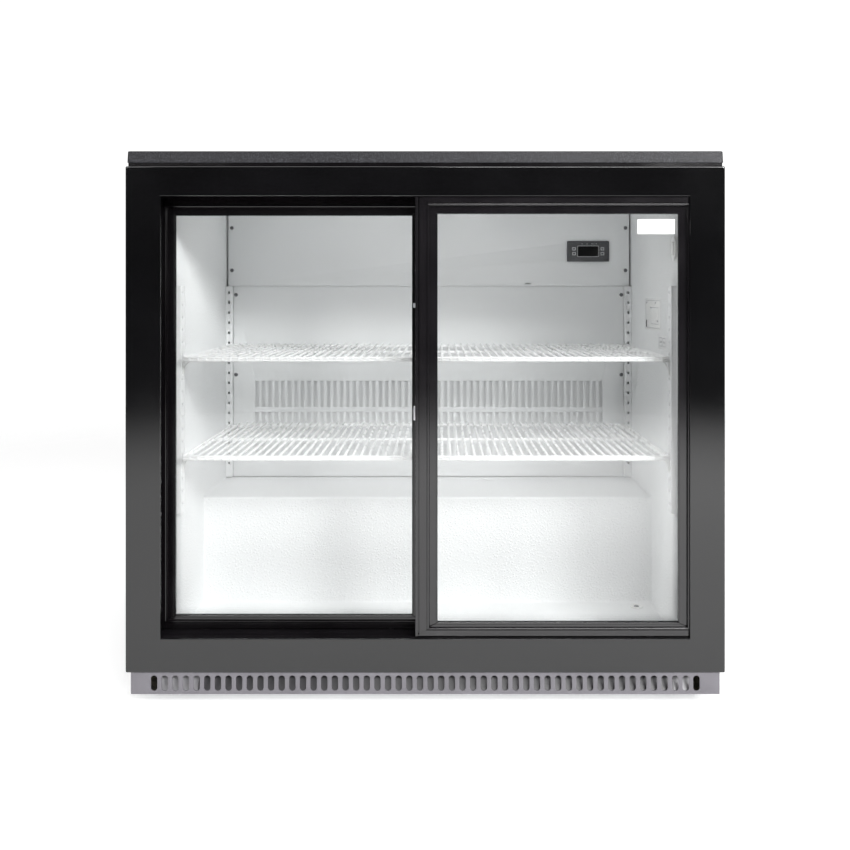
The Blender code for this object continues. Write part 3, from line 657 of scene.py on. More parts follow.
def make_rear_grille():
    """Machine compartment cover: rows of slots, each with a pressed hood above it."""
    low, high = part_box("rear_grille")
    outline = rounded_rect(low.x, high.x, low.z, high.z, 0.002, 3)
    gland = centre_of("cord_gland")
    hole = []
    for step in range(24):
        turn = math.radians(15 * step)
        hole.append((gland.x + 0.009 * math.cos(turn), gland.z + 0.009 * math.sin(turn)))
    centres = [(x, 0.088 + 0.015 * row) for x in (-0.270, 0.0, 0.270) for row in range(8)]
    holes = [slot_outline(x, z, 0.220, 0.006, 0.0029) for x, z in centres]
    bm = stand_up(sheet_with_holes(outline, [hole, *holes], 0.0012), (low.y + high.y) / 2)
    for x, z in centres:
        rings = []
        for u, reach in ((-0.112, 0.0), (-0.106, 1.0), (0.106, 1.0), (0.112, 0.0)):
            out = 0.0022 * reach + 0.0004
            rings.append([(x + u, high.y - 0.0001 + out * share, z + up) for share, up in HOOD])
        loft(bm, rings, capped=True)
    piece("rear_grille_skin", bm, "galvanised", replaces=["rear_grille"])
    bm = bmesh.new()
    for x in (low.x + 0.015, 0.135, -0.135, high.x - 0.015):
        for z in (low.z + 0.012, high.z - 0.010):
            pan_screw(bm, (x, high.y, z), (0, 1, 0))
    piece("rear_grille_screws", bm, "chrome")


KICK_SLOTS, KICK_PITCH = 52, 0.016
KICK_SLOT_Z, KICK_SLOT_SIZE = 0.0417, (0.0096, 0.0230)


def make_kick_grille():
    """A moulded strip with upright obround slots, folded back at its two ends."""
    low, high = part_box("kick_grille")
    thickness = high.y - low.y
    outline = rounded_rect(low.x, high.x, low.z, high.z, 0.0012, 3)
    columns = [KICK_PITCH * (index - (KICK_SLOTS - 1) / 2) for index in range(KICK_SLOTS)]
    holes = [slot_outline(x, KICK_SLOT_Z, *KICK_SLOT_SIZE, 0.00475, 6) for x in columns]
    bm = stand_up(sheet_with_holes(outline, holes, thickness, 0.0003), (low.y + high.y) / 2)
    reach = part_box("front_frame")[1].y - 0.001
    for x in (low.x + 0.0002, high.x - 0.0017):
        add_box(bm, (x, high.y - 0.0002, low.z + 0.0020), (x + 0.0015, reach, high.z - 0.0002))
    piece("kick_grille_skin", bm, "kick", replaces=["kick_grille"])
    bm = bmesh.new()
    for sign in (-1, 1):
        low_x, high_x = sorted((sign * 0.4235, sign * 0.4385))
        add_box(bm, (low_x, high.y + 0.0010, low.z + 0.004), (high_x, high.y + 0.0022, high.z - 0.002))
        add_box(bm, (low_x, high.y + 0.0022, high.z - 0.0032), (high_x, reach, high.z - 0.002))
    rounded(piece("kick_brackets", bm, "machine"), 0.0003, 2)
    start, end = high.y + 0.0035, high.y + 0.0145
    foot_z, top_z = low.z + 0.0030, 0.0470
    section = [(start, foot_z), (end, top_z), (end + 0.0010, top_z), (start + 0.0014, foot_z)]
    # painted shade in the middle, painted light at the two ends: one baffle in a dark and a light copy of
    # the same paint
    for name, start_x, end_x, finish in (
        ("kick_baffle", -0.3440, 0.3760, "kick_zinc"),
        ("kick_baffle_left", -0.4010, -0.3441, "kick_end"),
        ("kick_baffle_right", 0.3761, 0.4010, "kick_end"),
    ):
        bm = bmesh.new()
        loft(bm, [[(x, y, z) for y, z in section] for x in (start_x, end_x)], capped=True)
        piece(name, bm, finish)


def make_base():
    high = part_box("base_tray")[1]
    finish_cad("base_tray", "galvanised")
    bm = bmesh.new()
    for sign in (-1, 1):
        x = sorted((sign * (high.x - 0.0003), sign * (high.x - 0.0015)))
        add_box(bm, (x[0], -0.190, high.z + 0.0001), (x[1], high.y, high.z + 0.0140))
    rounded(piece("tray_flanges", bm, "galvanised"), 0.0003, 2)


def make_feet():
    """Levelling feet: a pad, a hexagon for the spanner and a threaded stem."""
    for row in ("front", "rear"):
        for side in ("left", "right"):
            name = f"foot_{row}_{side}"
            low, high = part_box(name)
            centre = ((low.x + high.x) / 2, (low.y + high.y) / 2, 0)
            bm = bmesh.new()
            radius = (high.x - low.x) / 2
            pad = [(radius * 0.8, 0), (radius * 0.97, 0.0006), (radius, 0.0020), (radius, 0.0042)]
            pad += [(radius * 0.93, 0.0052), (0.0150, 0.0080), (0.0138, 0.0100), (0.0130, 0.0120)]
            turned(bm, pad, centre)
            collar = [(0.0128, 0.0120), (0.0132, 0.0126), (0.0132, 0.0232), (0.0126, 0.0240)]
            turned(bm, collar, centre, steps=6)
            stem = [(0.0046, 0.0235)]
            for turn in range(12):
                z = 0.0243 + 0.00125 * turn
                stem += [(0.0050, z), (0.0045, z + 0.0006)]
            turned(bm, [*stem, (0.0042, 0.0398)], centre, steps=24)
            piece(name + "_skin", bm, "dark", body=name, replaces=[name])


# ---------------------------------------------------------------- doors


FLAT_END = 0.0155  # from the glass line back to the end of a bar's flat face
SHORT_FLAT_END = 0.0085
RIDGE = 0.0026


def bar_section(width):
    """(distance from the edge, depth) round a door bar, from its back corner over its face."""
    flat = width - (FLAT_END if width > 0.02 else SHORT_FLAT_END)
    slope = 0.0050 if width > 0.02 else 0.0034
    section = [(0, 0.0230), (0, 0.0008), (0.0003, 0.0002), (0.0009, 0), (flat - 0.0011, 0)]
    section += [(flat - 0.0008, 0.0012), (flat - 0.0001, 0.0012), (flat, -0.0003)]
    for step in range(1, 6):
        turn = math.pi * step / 6
        section.append((flat + RIDGE / 2 * (1 - math.cos(turn)), -0.0003 - 0.0008 * math.sin(turn)))
    section += [(flat + RIDGE, -0.0001), (flat + RIDGE + 0.0005, slope - 0.0008)]
    section += [(flat + RIDGE + 0.0009, slope - 0.0003), (width - 0.0022, slope)]
    section += [(width - 0.0020, slope + 0.0004), (width - 0.0008, slope + 0.0004)]
    section += [(width, slope + 0.0012), (width, 0.0088)]
    section += [(width - 0.0080, 0.0088), (width - 0.0080, 0.0212)]
    section += [(width - 0.0042, 0.0212), (width - 0.0042, 0.0226), (width - 0.0046, 0.0230)]
    return section


def pull_section(width):
    """The meeting stile's section: a raised finger lip and a groove before the flat face."""
    plain = bar_section(width)
    lip = [(0, 0.0230), (0, -0.0012), (0.0003, -0.0017), (0.0010, -0.0020)]
    lip += [(0.0033, -0.0020), (0.0040, -0.0017), (0.0043, -0.0012), (0.0043, 0.0030)]
    lip += [(0.0057, 0.0030), (0.0057, 0.0006), (0.0060, 0.0001), (0.0066, 0)]
    return lip + plain[4:]


def landmarks(width):
    """Where the bar's face changes, for matching one bar to the next across a mitre."""
    flat = width - (FLAT_END if width > 0.02 else SHORT_FLAT_END)
    return [0, flat, flat + RIDGE, width]


def carried_over(value, own, other):
    """The neighbour's distance that matches this bar's distance, between the same landmarks."""
    for a, b, c, d in zip(own, own[1:], other, other[1:]):
        if value <= b:
            return c + (max(value, a) - a) * (d - c) / (b - a)
    return other[-1]


def make_door(name):
    """Four bars round the glass, each with its section carried over to meet the next at a mitre."""
    parts = {side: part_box(f"{name}_{kind}_{side}") for kind, side in DOOR_BARS}
    glass_low, glass_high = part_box(name + "_glass")
    rebate = 0.0087
    face = parts["right"][0].y if name == "front_door" else parts["left"][0].y
    low_x, high_x = parts["left"][0].x, parts["right"][1].x
    low_z, high_z = parts["bottom"][0].z, parts["top"][1].z
    width = {
        "left": glass_low.x + rebate - low_x,
        "right": high_x - (glass_high.x - rebate),
        "bottom": glass_low.z + rebate - low_z,
        "top": high_z - (glass_high.z - rebate),
    }
    places = {
        "left": lambda a, u, v: (low_x + u, face + v, low_z + a),
        "right": lambda a, u, v: (high_x - u, face + v, low_z + a),
        "bottom": lambda a, u, v: (low_x + a, face + v, low_z + u),
        "top": lambda a, u, v: (low_x + a, face + v, high_z - u),
    }
    for kind, side in DOOR_BARS:
        upright = kind == "stile"
        length = high_z - low_z if upright else high_x - low_x
        before, after = ("bottom", "top") if upright else ("left", "right")
        own = landmarks(width[side])
        has_pull = name == "front_door" and side == "left"
        section = pull_section(width[side]) if has_pull else bar_section(width[side])
        rings = []
        for end, neighbour in ((0, before), (1, after)):
            ring = []
            for u, v in section:
                reach = 0.00012 + carried_over(u, own, landmarks(width[neighbour]))
                ring.append(places[side](length - reach if end else reach, u, v))
            rings.append(ring)
        bm = bmesh.new()
        loft(bm, rings, capped=True)
        node = f"{name}_{kind}_{side}"
        # painted shade: the rear door takes the darker copy of the door paint
        finish = "door" if name == "front_door" else "rear_door"
        flattened(piece(node + "_bar", bm, finish, body=name, replaces=[node], angle=40))
    make_glass(name, glass_low, glass_high)


DOOR_BARS = (("stile", "left"), ("stile", "right"), ("rail", "bottom"), ("rail", "top"))


def make_glass(name, low, high):
    """Two clear panes with a black spacer bar between their edges."""
    pane = 0.004
    bm = bmesh.new()
    for y in (low.y, high.y - pane):
        add_box(bm, (low.x, y, low.z), (high.x, y + pane, high.z))
    bmesh.ops.recalc_face_normals(bm, faces=bm.faces)
    for face in bm.faces:
        face.material_index = 0 if abs(face.normal.y) > 0.9 else 1
    finish = ["glass", "glass_edge"]
    piece(name + "_panes", bm, finish, body=name, replaces=[name + "_glass"])
    bm = bmesh.new()
    rings = []
    near, far = low.y + pane + 0.0002, high.y - pane - 0.0002
    for inset, y in ((0.0006, near), (0.0042, near), (0.0042, far), (0.0006, far)):
        points = rounded_rect(low.x + inset, high.x - inset, low.z + inset, high.z - inset, 0.0005, 2)
        rings.append([(u, y, v) for u, v in points])
    loft(bm, rings, closed=True)
    piece(name + "_spacer", bm, "rubber", body=name)


def make_door_trim():
    """Small things on the doors: a blank badge on the glass, a bumper and a keeper by the pull."""
    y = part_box("front_door_glass")[0].y - 0.00012
    bm = sheet_with_holes(rounded_rect(0.3215, 0.3780, 0.7180, 0.7405, 0.0005, 3), [], 0.0002, 0.00004)
    piece("glass_badge", stand_up(bm, y), "label", body="front_door")
    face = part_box("rear_door_stile_right")[0].y
    bm = bmesh.new()
    add_box(bm, (-0.0190, face - 0.0016, 0.6060), (-0.0152, face - 0.0001, 0.6130))
    rounded(piece("door_bumper", bm, "label_grey", body="rear_door"), 0.0005)
    bm = bmesh.new()
    add_box(bm, (-0.0186, face - 0.0012, 0.4330), (-0.0156, face - 0.0001, 0.4550))
    rounded(piece("door_keeper", bm, "chrome", body="rear_door"), 0.0004)
    for door in ("front_door", "rear_door"):
        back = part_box(door + "_stile_right")[1].y - 0.0003
        bm = bmesh.new()
        for z in (0.150, 0.745):
            for side in ("left", "right"):
                x = centre_of(f"{door}_stile_{side}").x
                pan_screw(bm, (x, back, z), (0, 1, 0), 0.0030)
        piece(door + "_screws", bm, "machine", body=door)


def make_rollers():
    """Nylon door rollers: a flat tread with eased edges, hollowed sides and a pin through the middle."""
    for door in ("front_door", "rear_door"):
        for side in ("left", "right"):
            name = f"{door}_roller_{side}"
            low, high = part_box(name)
            centre = (low + high) / 2
            half, radius = 0.0025, (high.x - low.x) / 2
            bm = bmesh.new()
            profile = [(0.0020, -half + 0.0005), (0.0040, -half + 0.0003), (0.0048, -half)]
            profile += [(radius - 0.0005, -half), (radius, -half + 0.0006)]
            profile += [(r, -h) for r, h in reversed(profile)]
            turned(bm, profile, centre, "Y", 40)
            pin = [(0.0016, -0.0031), (0.0018, -0.0028), (0.0018, 0.0028), (0.0016, 0.0031)]
            turned(bm, pin, centre, "Y", 20)
            piece(name + "_skin", bm, "white_plastic", body=name, replaces=[name])


def make_track():
    """The sill: two roller grooves between raised lands, with a fine rib on each land."""
    low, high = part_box("bottom_track")
    finish_cad("bottom_track", "door")
    bm = bmesh.new()
    for y in (low.y + 0.0012, low.y + 0.0045, high.y - 0.0266, high.y - 0.0012):
        add_box(bm, (low.x + 0.001, y - 0.0004, high.z - 0.0001),
                (high.x - 0.001, y + 0.0004, high.z + 0.0006))
    piece("track_ribs", bm, "door")


# ---------------------------------------------------------------- cabin


def make_liner():
    """The white cabin: one embossed skin with rounded inside corners over the machine hump."""
    low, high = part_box("inner_liner")
    skin = 0.001
    floor, ceiling = low.z + skin, high.z - skin
    half, back = high.x - skin, high.y - skin
    hump_front, hump_top = -0.010, 0.260
    outline = [
        (low.y, floor), (hump_front, floor), (hump_front, hump_top),
        (back, hump_top), (back, ceiling), (low.y, ceiling),
    ]
    bm = bmesh.new()
    base = bm.faces.new([bm.verts.new((-half, y, z)) for y, z in outline])
    pushed = bmesh.ops.extrude_face_region(bm, geom=[base])["geom"]
    moved = [item for item in pushed if isinstance(item, bmesh.types.BMVert)]
    bmesh.ops.translate(bm, verts=moved, vec=(2 * half, 0, 0))
    bmesh.ops.recalc_face_normals(bm, faces=bm.faces)
    mouth = min(bm.faces, key=lambda face: face.calc_center_median().y)
    bmesh.ops.delete(bm, geom=[mouth], context="FACES_ONLY")
    bends = [edge for edge in bm.edges if len(edge.link_faces) == 2]
    bmesh.ops.bevel(bm, geom=bends, offset=0.004, segments=4, profile=0.5, affect="EDGES")
    obj = piece("liner_skin", bm, "stucco", replaces=["inner_liner"], angle=50)
    solidify = obj.modifiers.new("sheet", "SOLIDIFY")
    solidify.thickness = 0.0009
    solidify.offset = 1
    drain = (0.372, -0.030, floor)
    bm = bmesh.new()
    flange = [(0.0050, 0.0001), (0.0052, 0.0012), (0.0075, 0.0024), (0.0110, 0.0020), (0.0118, 0.0002)]
    turned(bm, flange, drain, steps=32)
    piece("floor_drain", bm, "white_plastic")
    # painted shade: a flat dark disc inside the drain's flange stands in for the dark of the hole, which is
    # not cut
    bm = bmesh.new()
    turned(bm, [(0.0044, 0.0010), (0.0044, 0.0016)], drain, steps=24)
    piece("drain_hole_shade_disc", bm, "rubber")


AIR_COLUMNS, AIR_PITCH, AIR_SLOT_WIDTH = 54, 0.013, 0.0065
AIR_ROWS = ((0.2995, 0.3270), (0.3365, 0.3900), (0.4000, 0.4530))


def make_air_panel():
    """The slotted panel with a duct behind it, the evaporator cover above, and their screws."""
    low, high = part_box("rear_air_panel")
    outline = rounded_rect(low.x, high.x, low.z, high.z, 0.001, 2)
    holes = []
    for column in range(AIR_COLUMNS):
        x = AIR_PITCH * (column - (AIR_COLUMNS - 1) / 2)
        for bottom, top in AIR_ROWS:
            holes.append(slot_outline(x, (bottom + top) / 2, AIR_SLOT_WIDTH, top - bottom, 0.0012, 3))
    bm = stand_up(sheet_with_holes(outline, holes, high.y - low.y), (low.y + high.y) / 2)
    piece("air_panel_skin", bm, "white_sheet", replaces=["rear_air_panel"])
    bm = bmesh.new()
    add_box(bm, (-0.3600, high.y + 0.0040, 0.2900), (0.3600, high.y + 0.0050, 0.4620))
    for x in (-0.3600, 0.3588):
        add_box(bm, (x, high.y + 0.0002, 0.2900), (x + 0.0012, high.y + 0.0045, 0.4620))
    piece("air_duct", bm, "white_sheet")
    low_c, high_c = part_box("evaporator_cover")
    window = face_outline("thermostat_body", -0.003, -0.003, 0.001, 3)
    tab = rounded_rect(0.193, 0.205, low_c.z + 0.0035, low_c.z + 0.0060, 0.001, 3)
    outline = rounded_rect(low_c.x, high_c.x, low_c.z, high_c.z, 0.0015, 3)
    bm = stand_up(sheet_with_holes(outline, [window, tab], 0.0012), (low_c.y + high_c.y) / 2)
    depth, start = 0.030, high_c.y - 0.0002
    for x in (low_c.x + 0.0001, high_c.x - 0.0013):
        add_box(bm, (x, start, low_c.z + 0.0008), (x + 0.0012, high_c.y + depth, high_c.z - 0.0008))
    add_box(bm, (low_c.x + 0.002, start, low_c.z + 0.0003),
            (high_c.x - 0.002, high_c.y + 0.0060, low_c.z + 0.0015))
    hem_y, hem_z = low_c.y + 0.0004, low_c.z + 0.0008
    tube(bm, [(low_c.x + 0.002, hem_y, hem_z), (high_c.x - 0.002, hem_y, hem_z)], 0.0012)
    piece("evaporator_cover_skin", bm, "white_sheet", replaces=["evaporator_cover"])
    bm = bmesh.new()
    screws = ((0.386, low.y, 0.625), (0.386, low.y, 0.465), (0.394, low_c.y, 0.759), (0.394, low_c.y, 0.674))
    for sign in (-1, 1):
        for x, y, z in screws:
            pan_screw(bm, (sign * x, y, z), (0, -1, 0), 0.0038)
    piece("panel_screws", bm, "screw")


def channel_faces(bm, side, face_x, wall_x, start, end, low_z, high_z):
    """The two flanges of an upright channel, behind its pierced web."""
    for y in (start, end - 0.0012):
        near, far = sorted((side * (face_x + 0.0002), side * wall_x))
        add_box(bm, (near, y, low_z), (far, y + 0.0012, high_z))


def make_pilasters():
    """Pierced uprights that the shelf clips hook into."""
    for side, sign in (("left", -1), ("right", 1)):
        low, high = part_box("pilaster_front_" + side)
        levels = [0.2895 + 0.020 * index for index in range(18)]
        outline = rounded_rect(low.y, high.y, low.z, high.z, 0.0008, 2)
        middle = (low.y + high.y) / 2
        holes = [slot_outline(middle, z, 0.0042, 0.0050, 0.0009, 3) for z in levels]
        web_x = (low.x if sign > 0 else high.x) + sign * 0.0006
        bm = face_sideways(sheet_with_holes(outline, holes, 0.0012), web_x)
        channel_faces(bm, sign, abs(web_x), 0.4047, low.y, high.y, low.z, high.z)
        node = "pilaster_front_" + side
        # painted light: the front pilasters take the brighter copy of the white paint; the rear ones take
        # the plain white sheet
        piece(node + "_skin", bm, "flange", replaces=[node])
        low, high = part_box("pilaster_rear_" + side)
        outline = rounded_rect(low.x, high.x, low.z, high.z, 0.0008, 2)
        middle = (low.x + high.x) / 2
        holes = [slot_outline(middle, z, 0.0036, 0.0048, 0.0009, 3) for z in levels]
        bm = stand_up(sheet_with_holes(outline, holes, 0.0012), low.y + 0.0006)
        for x in (low.x, high.x - 0.0012):
            add_box(bm, (x, low.y + 0.0008, low.z), (x + 0.0012, high.y, high.z))
        node = "pilaster_rear_" + side
        piece(node + "_skin", bm, "white_sheet", replaces=[node])


WIRE_R = 0.0021
RAIL_R = 0.0029
SHELF_CORNER_R = 0.028


def make_shelf(name):
    """White coated wires, turned down at the front over a lower rail, on round cross rails."""
    low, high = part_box(name)
    bm = bmesh.new()
    wire_z = high.z - WIRE_R
    lower_z = low.z + WIRE_R
    rail_z = low.z + RAIL_R
    front, back = low.y + WIRE_R, high.y - RAIL_R
    half = high.x - RAIL_R
    bend = 0.0030
    for index in range(59):
        x = 0.01285 * (index - 29)
        past = max(0, abs(x) - (half - SHELF_CORNER_R))
        end = back + 0.001 - SHELF_CORNER_R + math.sqrt(SHELF_CORNER_R ** 2 - past ** 2)
        path = [(x, end, wire_z), (x, (front + end) / 2, wire_z), (x, front + bend, wire_z)]
        for step in (1, 2, 3):
            turn = math.radians(30 * step)
            path.append((x, front + bend * (1 - math.sin(turn)), wire_z - bend * (1 - math.cos(turn))))
        path.append((x, front, lower_z + 0.0005))
        tube(bm, path, WIRE_R, 10)
    for y, z, r in ((front + 0.0044, rail_z, RAIL_R), (-0.026, rail_z, RAIL_R)):
        tube(bm, [(-half, y, z), (0, y, z), (half, y, z)], r, 14)
    for z in (lower_z, wire_z - 0.0009):
        tube(bm, [(-half, front + 0.0004, z), (half, front + 0.0004, z)], 0.0020, 12)
    rim = [(half, front + 0.0044), (half, 0), (half, back - SHELF_CORNER_R)]
    for step in range(1, 7):
        turn = math.radians(15 * step)
        across, along = 1 - math.cos(turn), 1 - math.sin(turn)
        rim.append((half - SHELF_CORNER_R * across, back - SHELF_CORNER_R * along))
    rim += [(-x, y) for x, y in rim[::-1]]
    tube(bm, [(x, y, rail_z) for x, y in rim], RAIL_R, 14)
    for x in (-half, half):
        path = [(x, back - SHELF_CORNER_R, wire_z), (x, front + bend, wire_z), (x, front + 0.0004, lower_z)]
        tube(bm, path, WIRE_R, 10)
    piece(name + "_wires", bm, "wire", body=name, replaces=[name], angle=60)


def gusset_outline(reach, height):
    """Side view of a curved strut from a bracket's tip down to the foot of its back plate."""
    outer, inner = [], []
    for step in range(9):
        turn = math.radians(90 * step / 8)
        along, down = 1 - math.sin(turn), 1 - math.cos(turn)
        outer.append((0.0012 + (reach - 0.0014) * along, -0.0018 - (height - 0.0026) * down))
        inner.append((0.0008 + (reach - 0.0036) * along, -0.0010 - (height - 0.0042) * down))
    return outer + inner[::-1]


def make_clips():
    """Moulded brackets: a flat seat for the rail, a curved strut and a back plate on the pilaster."""
    for level in ("lower", "upper"):
        for row in ("front", "rear"):
            for side, sign in (("left", -1), ("right", 1)):
                node = f"shelf_clip_{level}_{row}_{side}"
                low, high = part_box(node)
                if row == "front":
                    wall, reach = (high.x if sign > 0 else low.x), high.x - low.x
                    middle, half_seat = (low.y + high.y) / 2, (high.y - low.y) / 2
                else:
                    wall, reach = high.y, high.y - low.y
                    middle, half_seat = (low.x + high.x) / 2, (high.x - low.x) / 2

                def at(out, along, z):
                    return (wall - sign * out, along, z) if row == "front" else (along, wall - out, z)

                def plate(out, half, low_z):
                    ends = [at(0, middle - half, low_z), at(out, middle + half, high.z - 0.0001)]
                    add_box(bm, [min(pair) for pair in zip(*ends)], [max(pair) for pair in zip(*ends)])

                bm = bmesh.new()
                outline = gusset_outline(reach, high.z - low.z)
                loft(bm, [[at(u, middle + w, high.z + v) for u, v in outline] for w in (-0.0020, 0.0020)],
                     capped=True)
                plate(reach, half_seat, high.z - 0.0020)
                plate(0.0016, 0.0035, low.z)
                obj = piece(node + "_skin", bm, "white_plastic", replaces=[node])
                rounded(obj, 0.0003, 2, 50)


def make_thermostat():
    """Digital controller: satin bezel, sunk window, status marks and four printed keys."""
    low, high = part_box("thermostat_body")
    face = low.y
    centre = (low + high) / 2
    rows, sides = ("upper", "lower"), ("left", "right")
    keys = [f"thermostat_button_{row}_{side}" for row in rows for side in sides]
    outline = rounded_rect(low.x, high.x, low.z, high.z, 0.0025, 4)
    holes = [slot_outline(centre.x, centre.z, 0.0410, 0.0200, 0.0015, 4)]
    holes += [face_outline(node, 0.0004, 0.0004, 0.001, 3) for node in keys]
    bm = stand_up(sheet_with_holes(outline, holes, 0.0022, 0.0004), face + 0.0011)
    for inset, start, end in ((0.0002, face + 0.0021, face + 0.0036), (0.004, face + 0.0035, high.y)):
        add_box(bm, (low.x + inset, start, low.z + inset), (high.x - inset, end, high.z - inset))
    piece("thermostat_bezel", bm, "bezel", replaces=["thermostat_body"])
    bm = bmesh.new()
    add_box(bm, (centre.x - 0.0203, face + 0.0007, centre.z - 0.0098),
            (centre.x + 0.0203, face + 0.0023, centre.z + 0.0098))
    rounded(piece("thermostat_window", bm, "window"), 0.0003)
    bm = bmesh.new()
    for offset in (-0.0120, -0.0020, 0.0080, 0.0160):
        dot = (centre.x + offset, face, centre.z + 0.0148)
        turned(bm, [(0.0009, -0.0001), (0.0008, 0.0003)], dot, "Y", 16)
    for offset in (-0.0040, 0.0060, 0.0100):
        x = centre.x + offset
        add_box(bm, (x, face - 0.0002, centre.z + 0.0143), (x + 0.0024, face + 0.0001, centre.z + 0.0149))
    rim = slot_outline(centre.x, centre.z, 0.0432, 0.0222, 0.002, 4)
    rim_hole = slot_outline(centre.x, centre.z, 0.0418, 0.0208, 0.0016, 4)
    trim = stand_up(sheet_with_holes(rim, [rim_hole], 0.0003, 0.00005), face - 0.0001)
    piece("thermostat_marks", bm, "icon")
    piece("thermostat_rim", trim, "icon")
    for node in keys:
        key_low, key_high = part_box(node)
        bm = bmesh.new()
        add_box(bm, key_low, key_high)
        obj = piece(node + "_cap", bm, "bezel", body=node, replaces=[node])
        rounded(obj, 0.0006)
        x, z = (key_low.x + key_high.x) / 2, (key_low.z + key_high.z) / 2
        ring = slot_outline(x, z, 0.0068, 0.0062, 0.0008, 3)
        hole = slot_outline(x, z, 0.0042, 0.0036, 0.0004, 3)
        mark = stand_up(sheet_with_holes(ring, [hole], 0.0002, 0.00004), key_low.y - 0.0001)
        if "upper" in node:
            add_box(mark, (x - 0.0012, key_low.y - 0.0002, z - 0.0003), (x + 0.0012, key_low.y, z + 0.0003))
        piece(node + "_mark", mark, "icon", body=node)


def make_light():
    """Light bar under the ceiling and its rocker switch on the right wall."""
    low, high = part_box("light_bar")
    bm = bmesh.new()
    add_box(bm, (low.x, low.y, low.z + 0.005), high)
    obj = piece("light_bar_case", bm, "white_plastic", replaces=["light_bar"])
    rounded(obj, 0.0010)
    bm = bmesh.new()
    rings = []
    for x in (low.x + 0.004, high.x - 0.004):
        ring = [(x, low.y + 0.0012, low.z + 0.0052), (x, high.y - 0.0012, low.z + 0.0052)]
        for step in range(1, 8):
            turn = math.pi * step / 8
            middle, reach = (low.y + high.y) / 2, (high.y - low.y) / 2 - 0.0012
            ring.append((x, middle + reach * math.cos(turn), low.z + 0.0052 - 0.0050 * math.sin(turn)))
        rings.append(ring)
    loft(bm, rings, capped=True)
    piece("light_bar_diffuser", bm, "led", angle=40)
    low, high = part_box("light_switch_body")
    rocker_low, rocker_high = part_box("light_switch_rocker")
    outline = face_outline("light_switch_body", 0, 0, 0.0108, 10, "y")
    hole = face_outline("light_switch_rocker", 0.0005, 0.0006, 0.001, 3, "y")
    bm = face_sideways(sheet_with_holes(outline, [hole], 0.0058, 0.0010), low.x + 0.0037)
    inner = face_outline("light_switch_body", -0.001, -0.001, 0.0098, 8, "y")
    back = face_sideways(sheet_with_holes(inner, [], 0.0014, 0.0001), high.x - 0.0008)
    piece("switch_surround", bm, "white_plastic", replaces=["light_switch_body"])
    piece("switch_back", back, "white_plastic")
    bm = bmesh.new()
    middle_z = (rocker_low.z + rocker_high.z) / 2
    profile = [(rocker_high.x, rocker_low.z), (rocker_low.x, rocker_low.z + 0.0004)]
    profile += [(rocker_low.x + 0.0010, middle_z)]
    profile += [(rocker_low.x, rocker_high.z - 0.0004), (rocker_high.x, rocker_high.z)]
    loft(bm, [[(x, y, z) for x, z in profile] for y in (rocker_low.y, rocker_high.y)], capped=True)
    node = "light_switch_rocker"
    obj = piece("switch_rocker_cap", bm, "white_plastic", body=node, replaces=[node])
    rounded(obj, 0.0005)


def make_labels():
    """Labels on the right wall, with frames and bars in place of print: a large one and a small one."""
    wall = 0.4050

    def label(name, y, z, width, height, material, lift):
        outline = slot_outline(y, z, width, height, 0.001, 3)
        bm = face_sideways(sheet_with_holes(outline, [], 0.0003, 0.00005), wall - lift)
        piece(name, bm, material)

    def stroke(name, y, z, width, height, material, line=0.0010):
        outline = slot_outline(y, z, width, height, 0.0012, 3)
        hole = slot_outline(y, z, width - 2 * line, height - 2 * line, 0.0008, 3)
        bm = face_sideways(sheet_with_holes(outline, [hole], 0.0002, 0.00004), wall - 0.0005)
        piece(name, bm, material)

    label("wall_label", -0.0175, 0.5905, 0.105, 0.056, "label", 0.0003)
    stroke("wall_label_frame", -0.0175, 0.5905, 0.099, 0.050, "label_grey")
    stroke("wall_label_diagram", -0.0300, 0.5880, 0.050, 0.030, "label_grey")
    label("wall_label_bar", 0.0250, 0.5730, 0.006, 0.013, "dark", 0.0006)
    marks = ((0.0240, 0.6110), (-0.0050, 0.6020), (-0.0350, 0.6110), (-0.0480, 0.5790))
    for index, (y, z) in enumerate(marks):
        label(f"wall_label_mark_{index}", y, z, 0.0070, 0.0026, "icon_dark", 0.0006)
    label("small_label", -0.0780, 0.5440, 0.046, 0.024, "paper", 0.0003)
    boxes = ((-0.0900, 0.5480), (-0.0690, 0.5480), (-0.0900, 0.5400), (-0.0690, 0.5400))
    for index, (y, z) in enumerate(boxes):
        stroke(f"small_label_box_{index}", y, z, 0.016, 0.0070, "icon_dark", 0.0008)


# ---------------------------------------------------------------- machinery


def make_evaporator():
    """Finned coil with copper return bends at both ends, beside its fan."""
    low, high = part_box("evaporator_coil")
    bm = bmesh.new()
    count = 110
    for index in range(count):
        x = low.x + (high.x - low.x) * (index + 0.5) / count
        add_box(bm, (x - 0.00035, low.y, low.z), (x + 0.00035, high.y, high.z))
    for x in (low.x - 0.0010, high.x):
        add_box(bm, (x, low.y - 0.0005, low.z - 0.0010), (x + 0.0010, high.y, high.z + 0.0010))
    piece("evaporator_fins", bm, "aluminium", replaces=["evaporator_coil"])
    bm = bmesh.new()
    for row in range(5):
        z = low.z + 0.014 + 0.025 * row
        for y in (low.y + 0.011, high.y - 0.010):
            tube(bm, [(low.x - 0.006, y, z), (high.x + 0.006, y, z)], 0.0040, 12)
        for x, sign in ((low.x - 0.006, -1), (high.x + 0.006, 1)):
            middle = (low.y + high.y) / 2
            reach = (high.y - low.y) / 2 - 0.0105
            path = []
            for step in range(9):
                turn = math.pi * step / 8
                path.append((x + sign * reach * math.sin(turn), middle + reach * math.cos(turn), z))
            tube(bm, path, 0.0040, 12)
    piece("evaporator_tubes", bm, "copper")


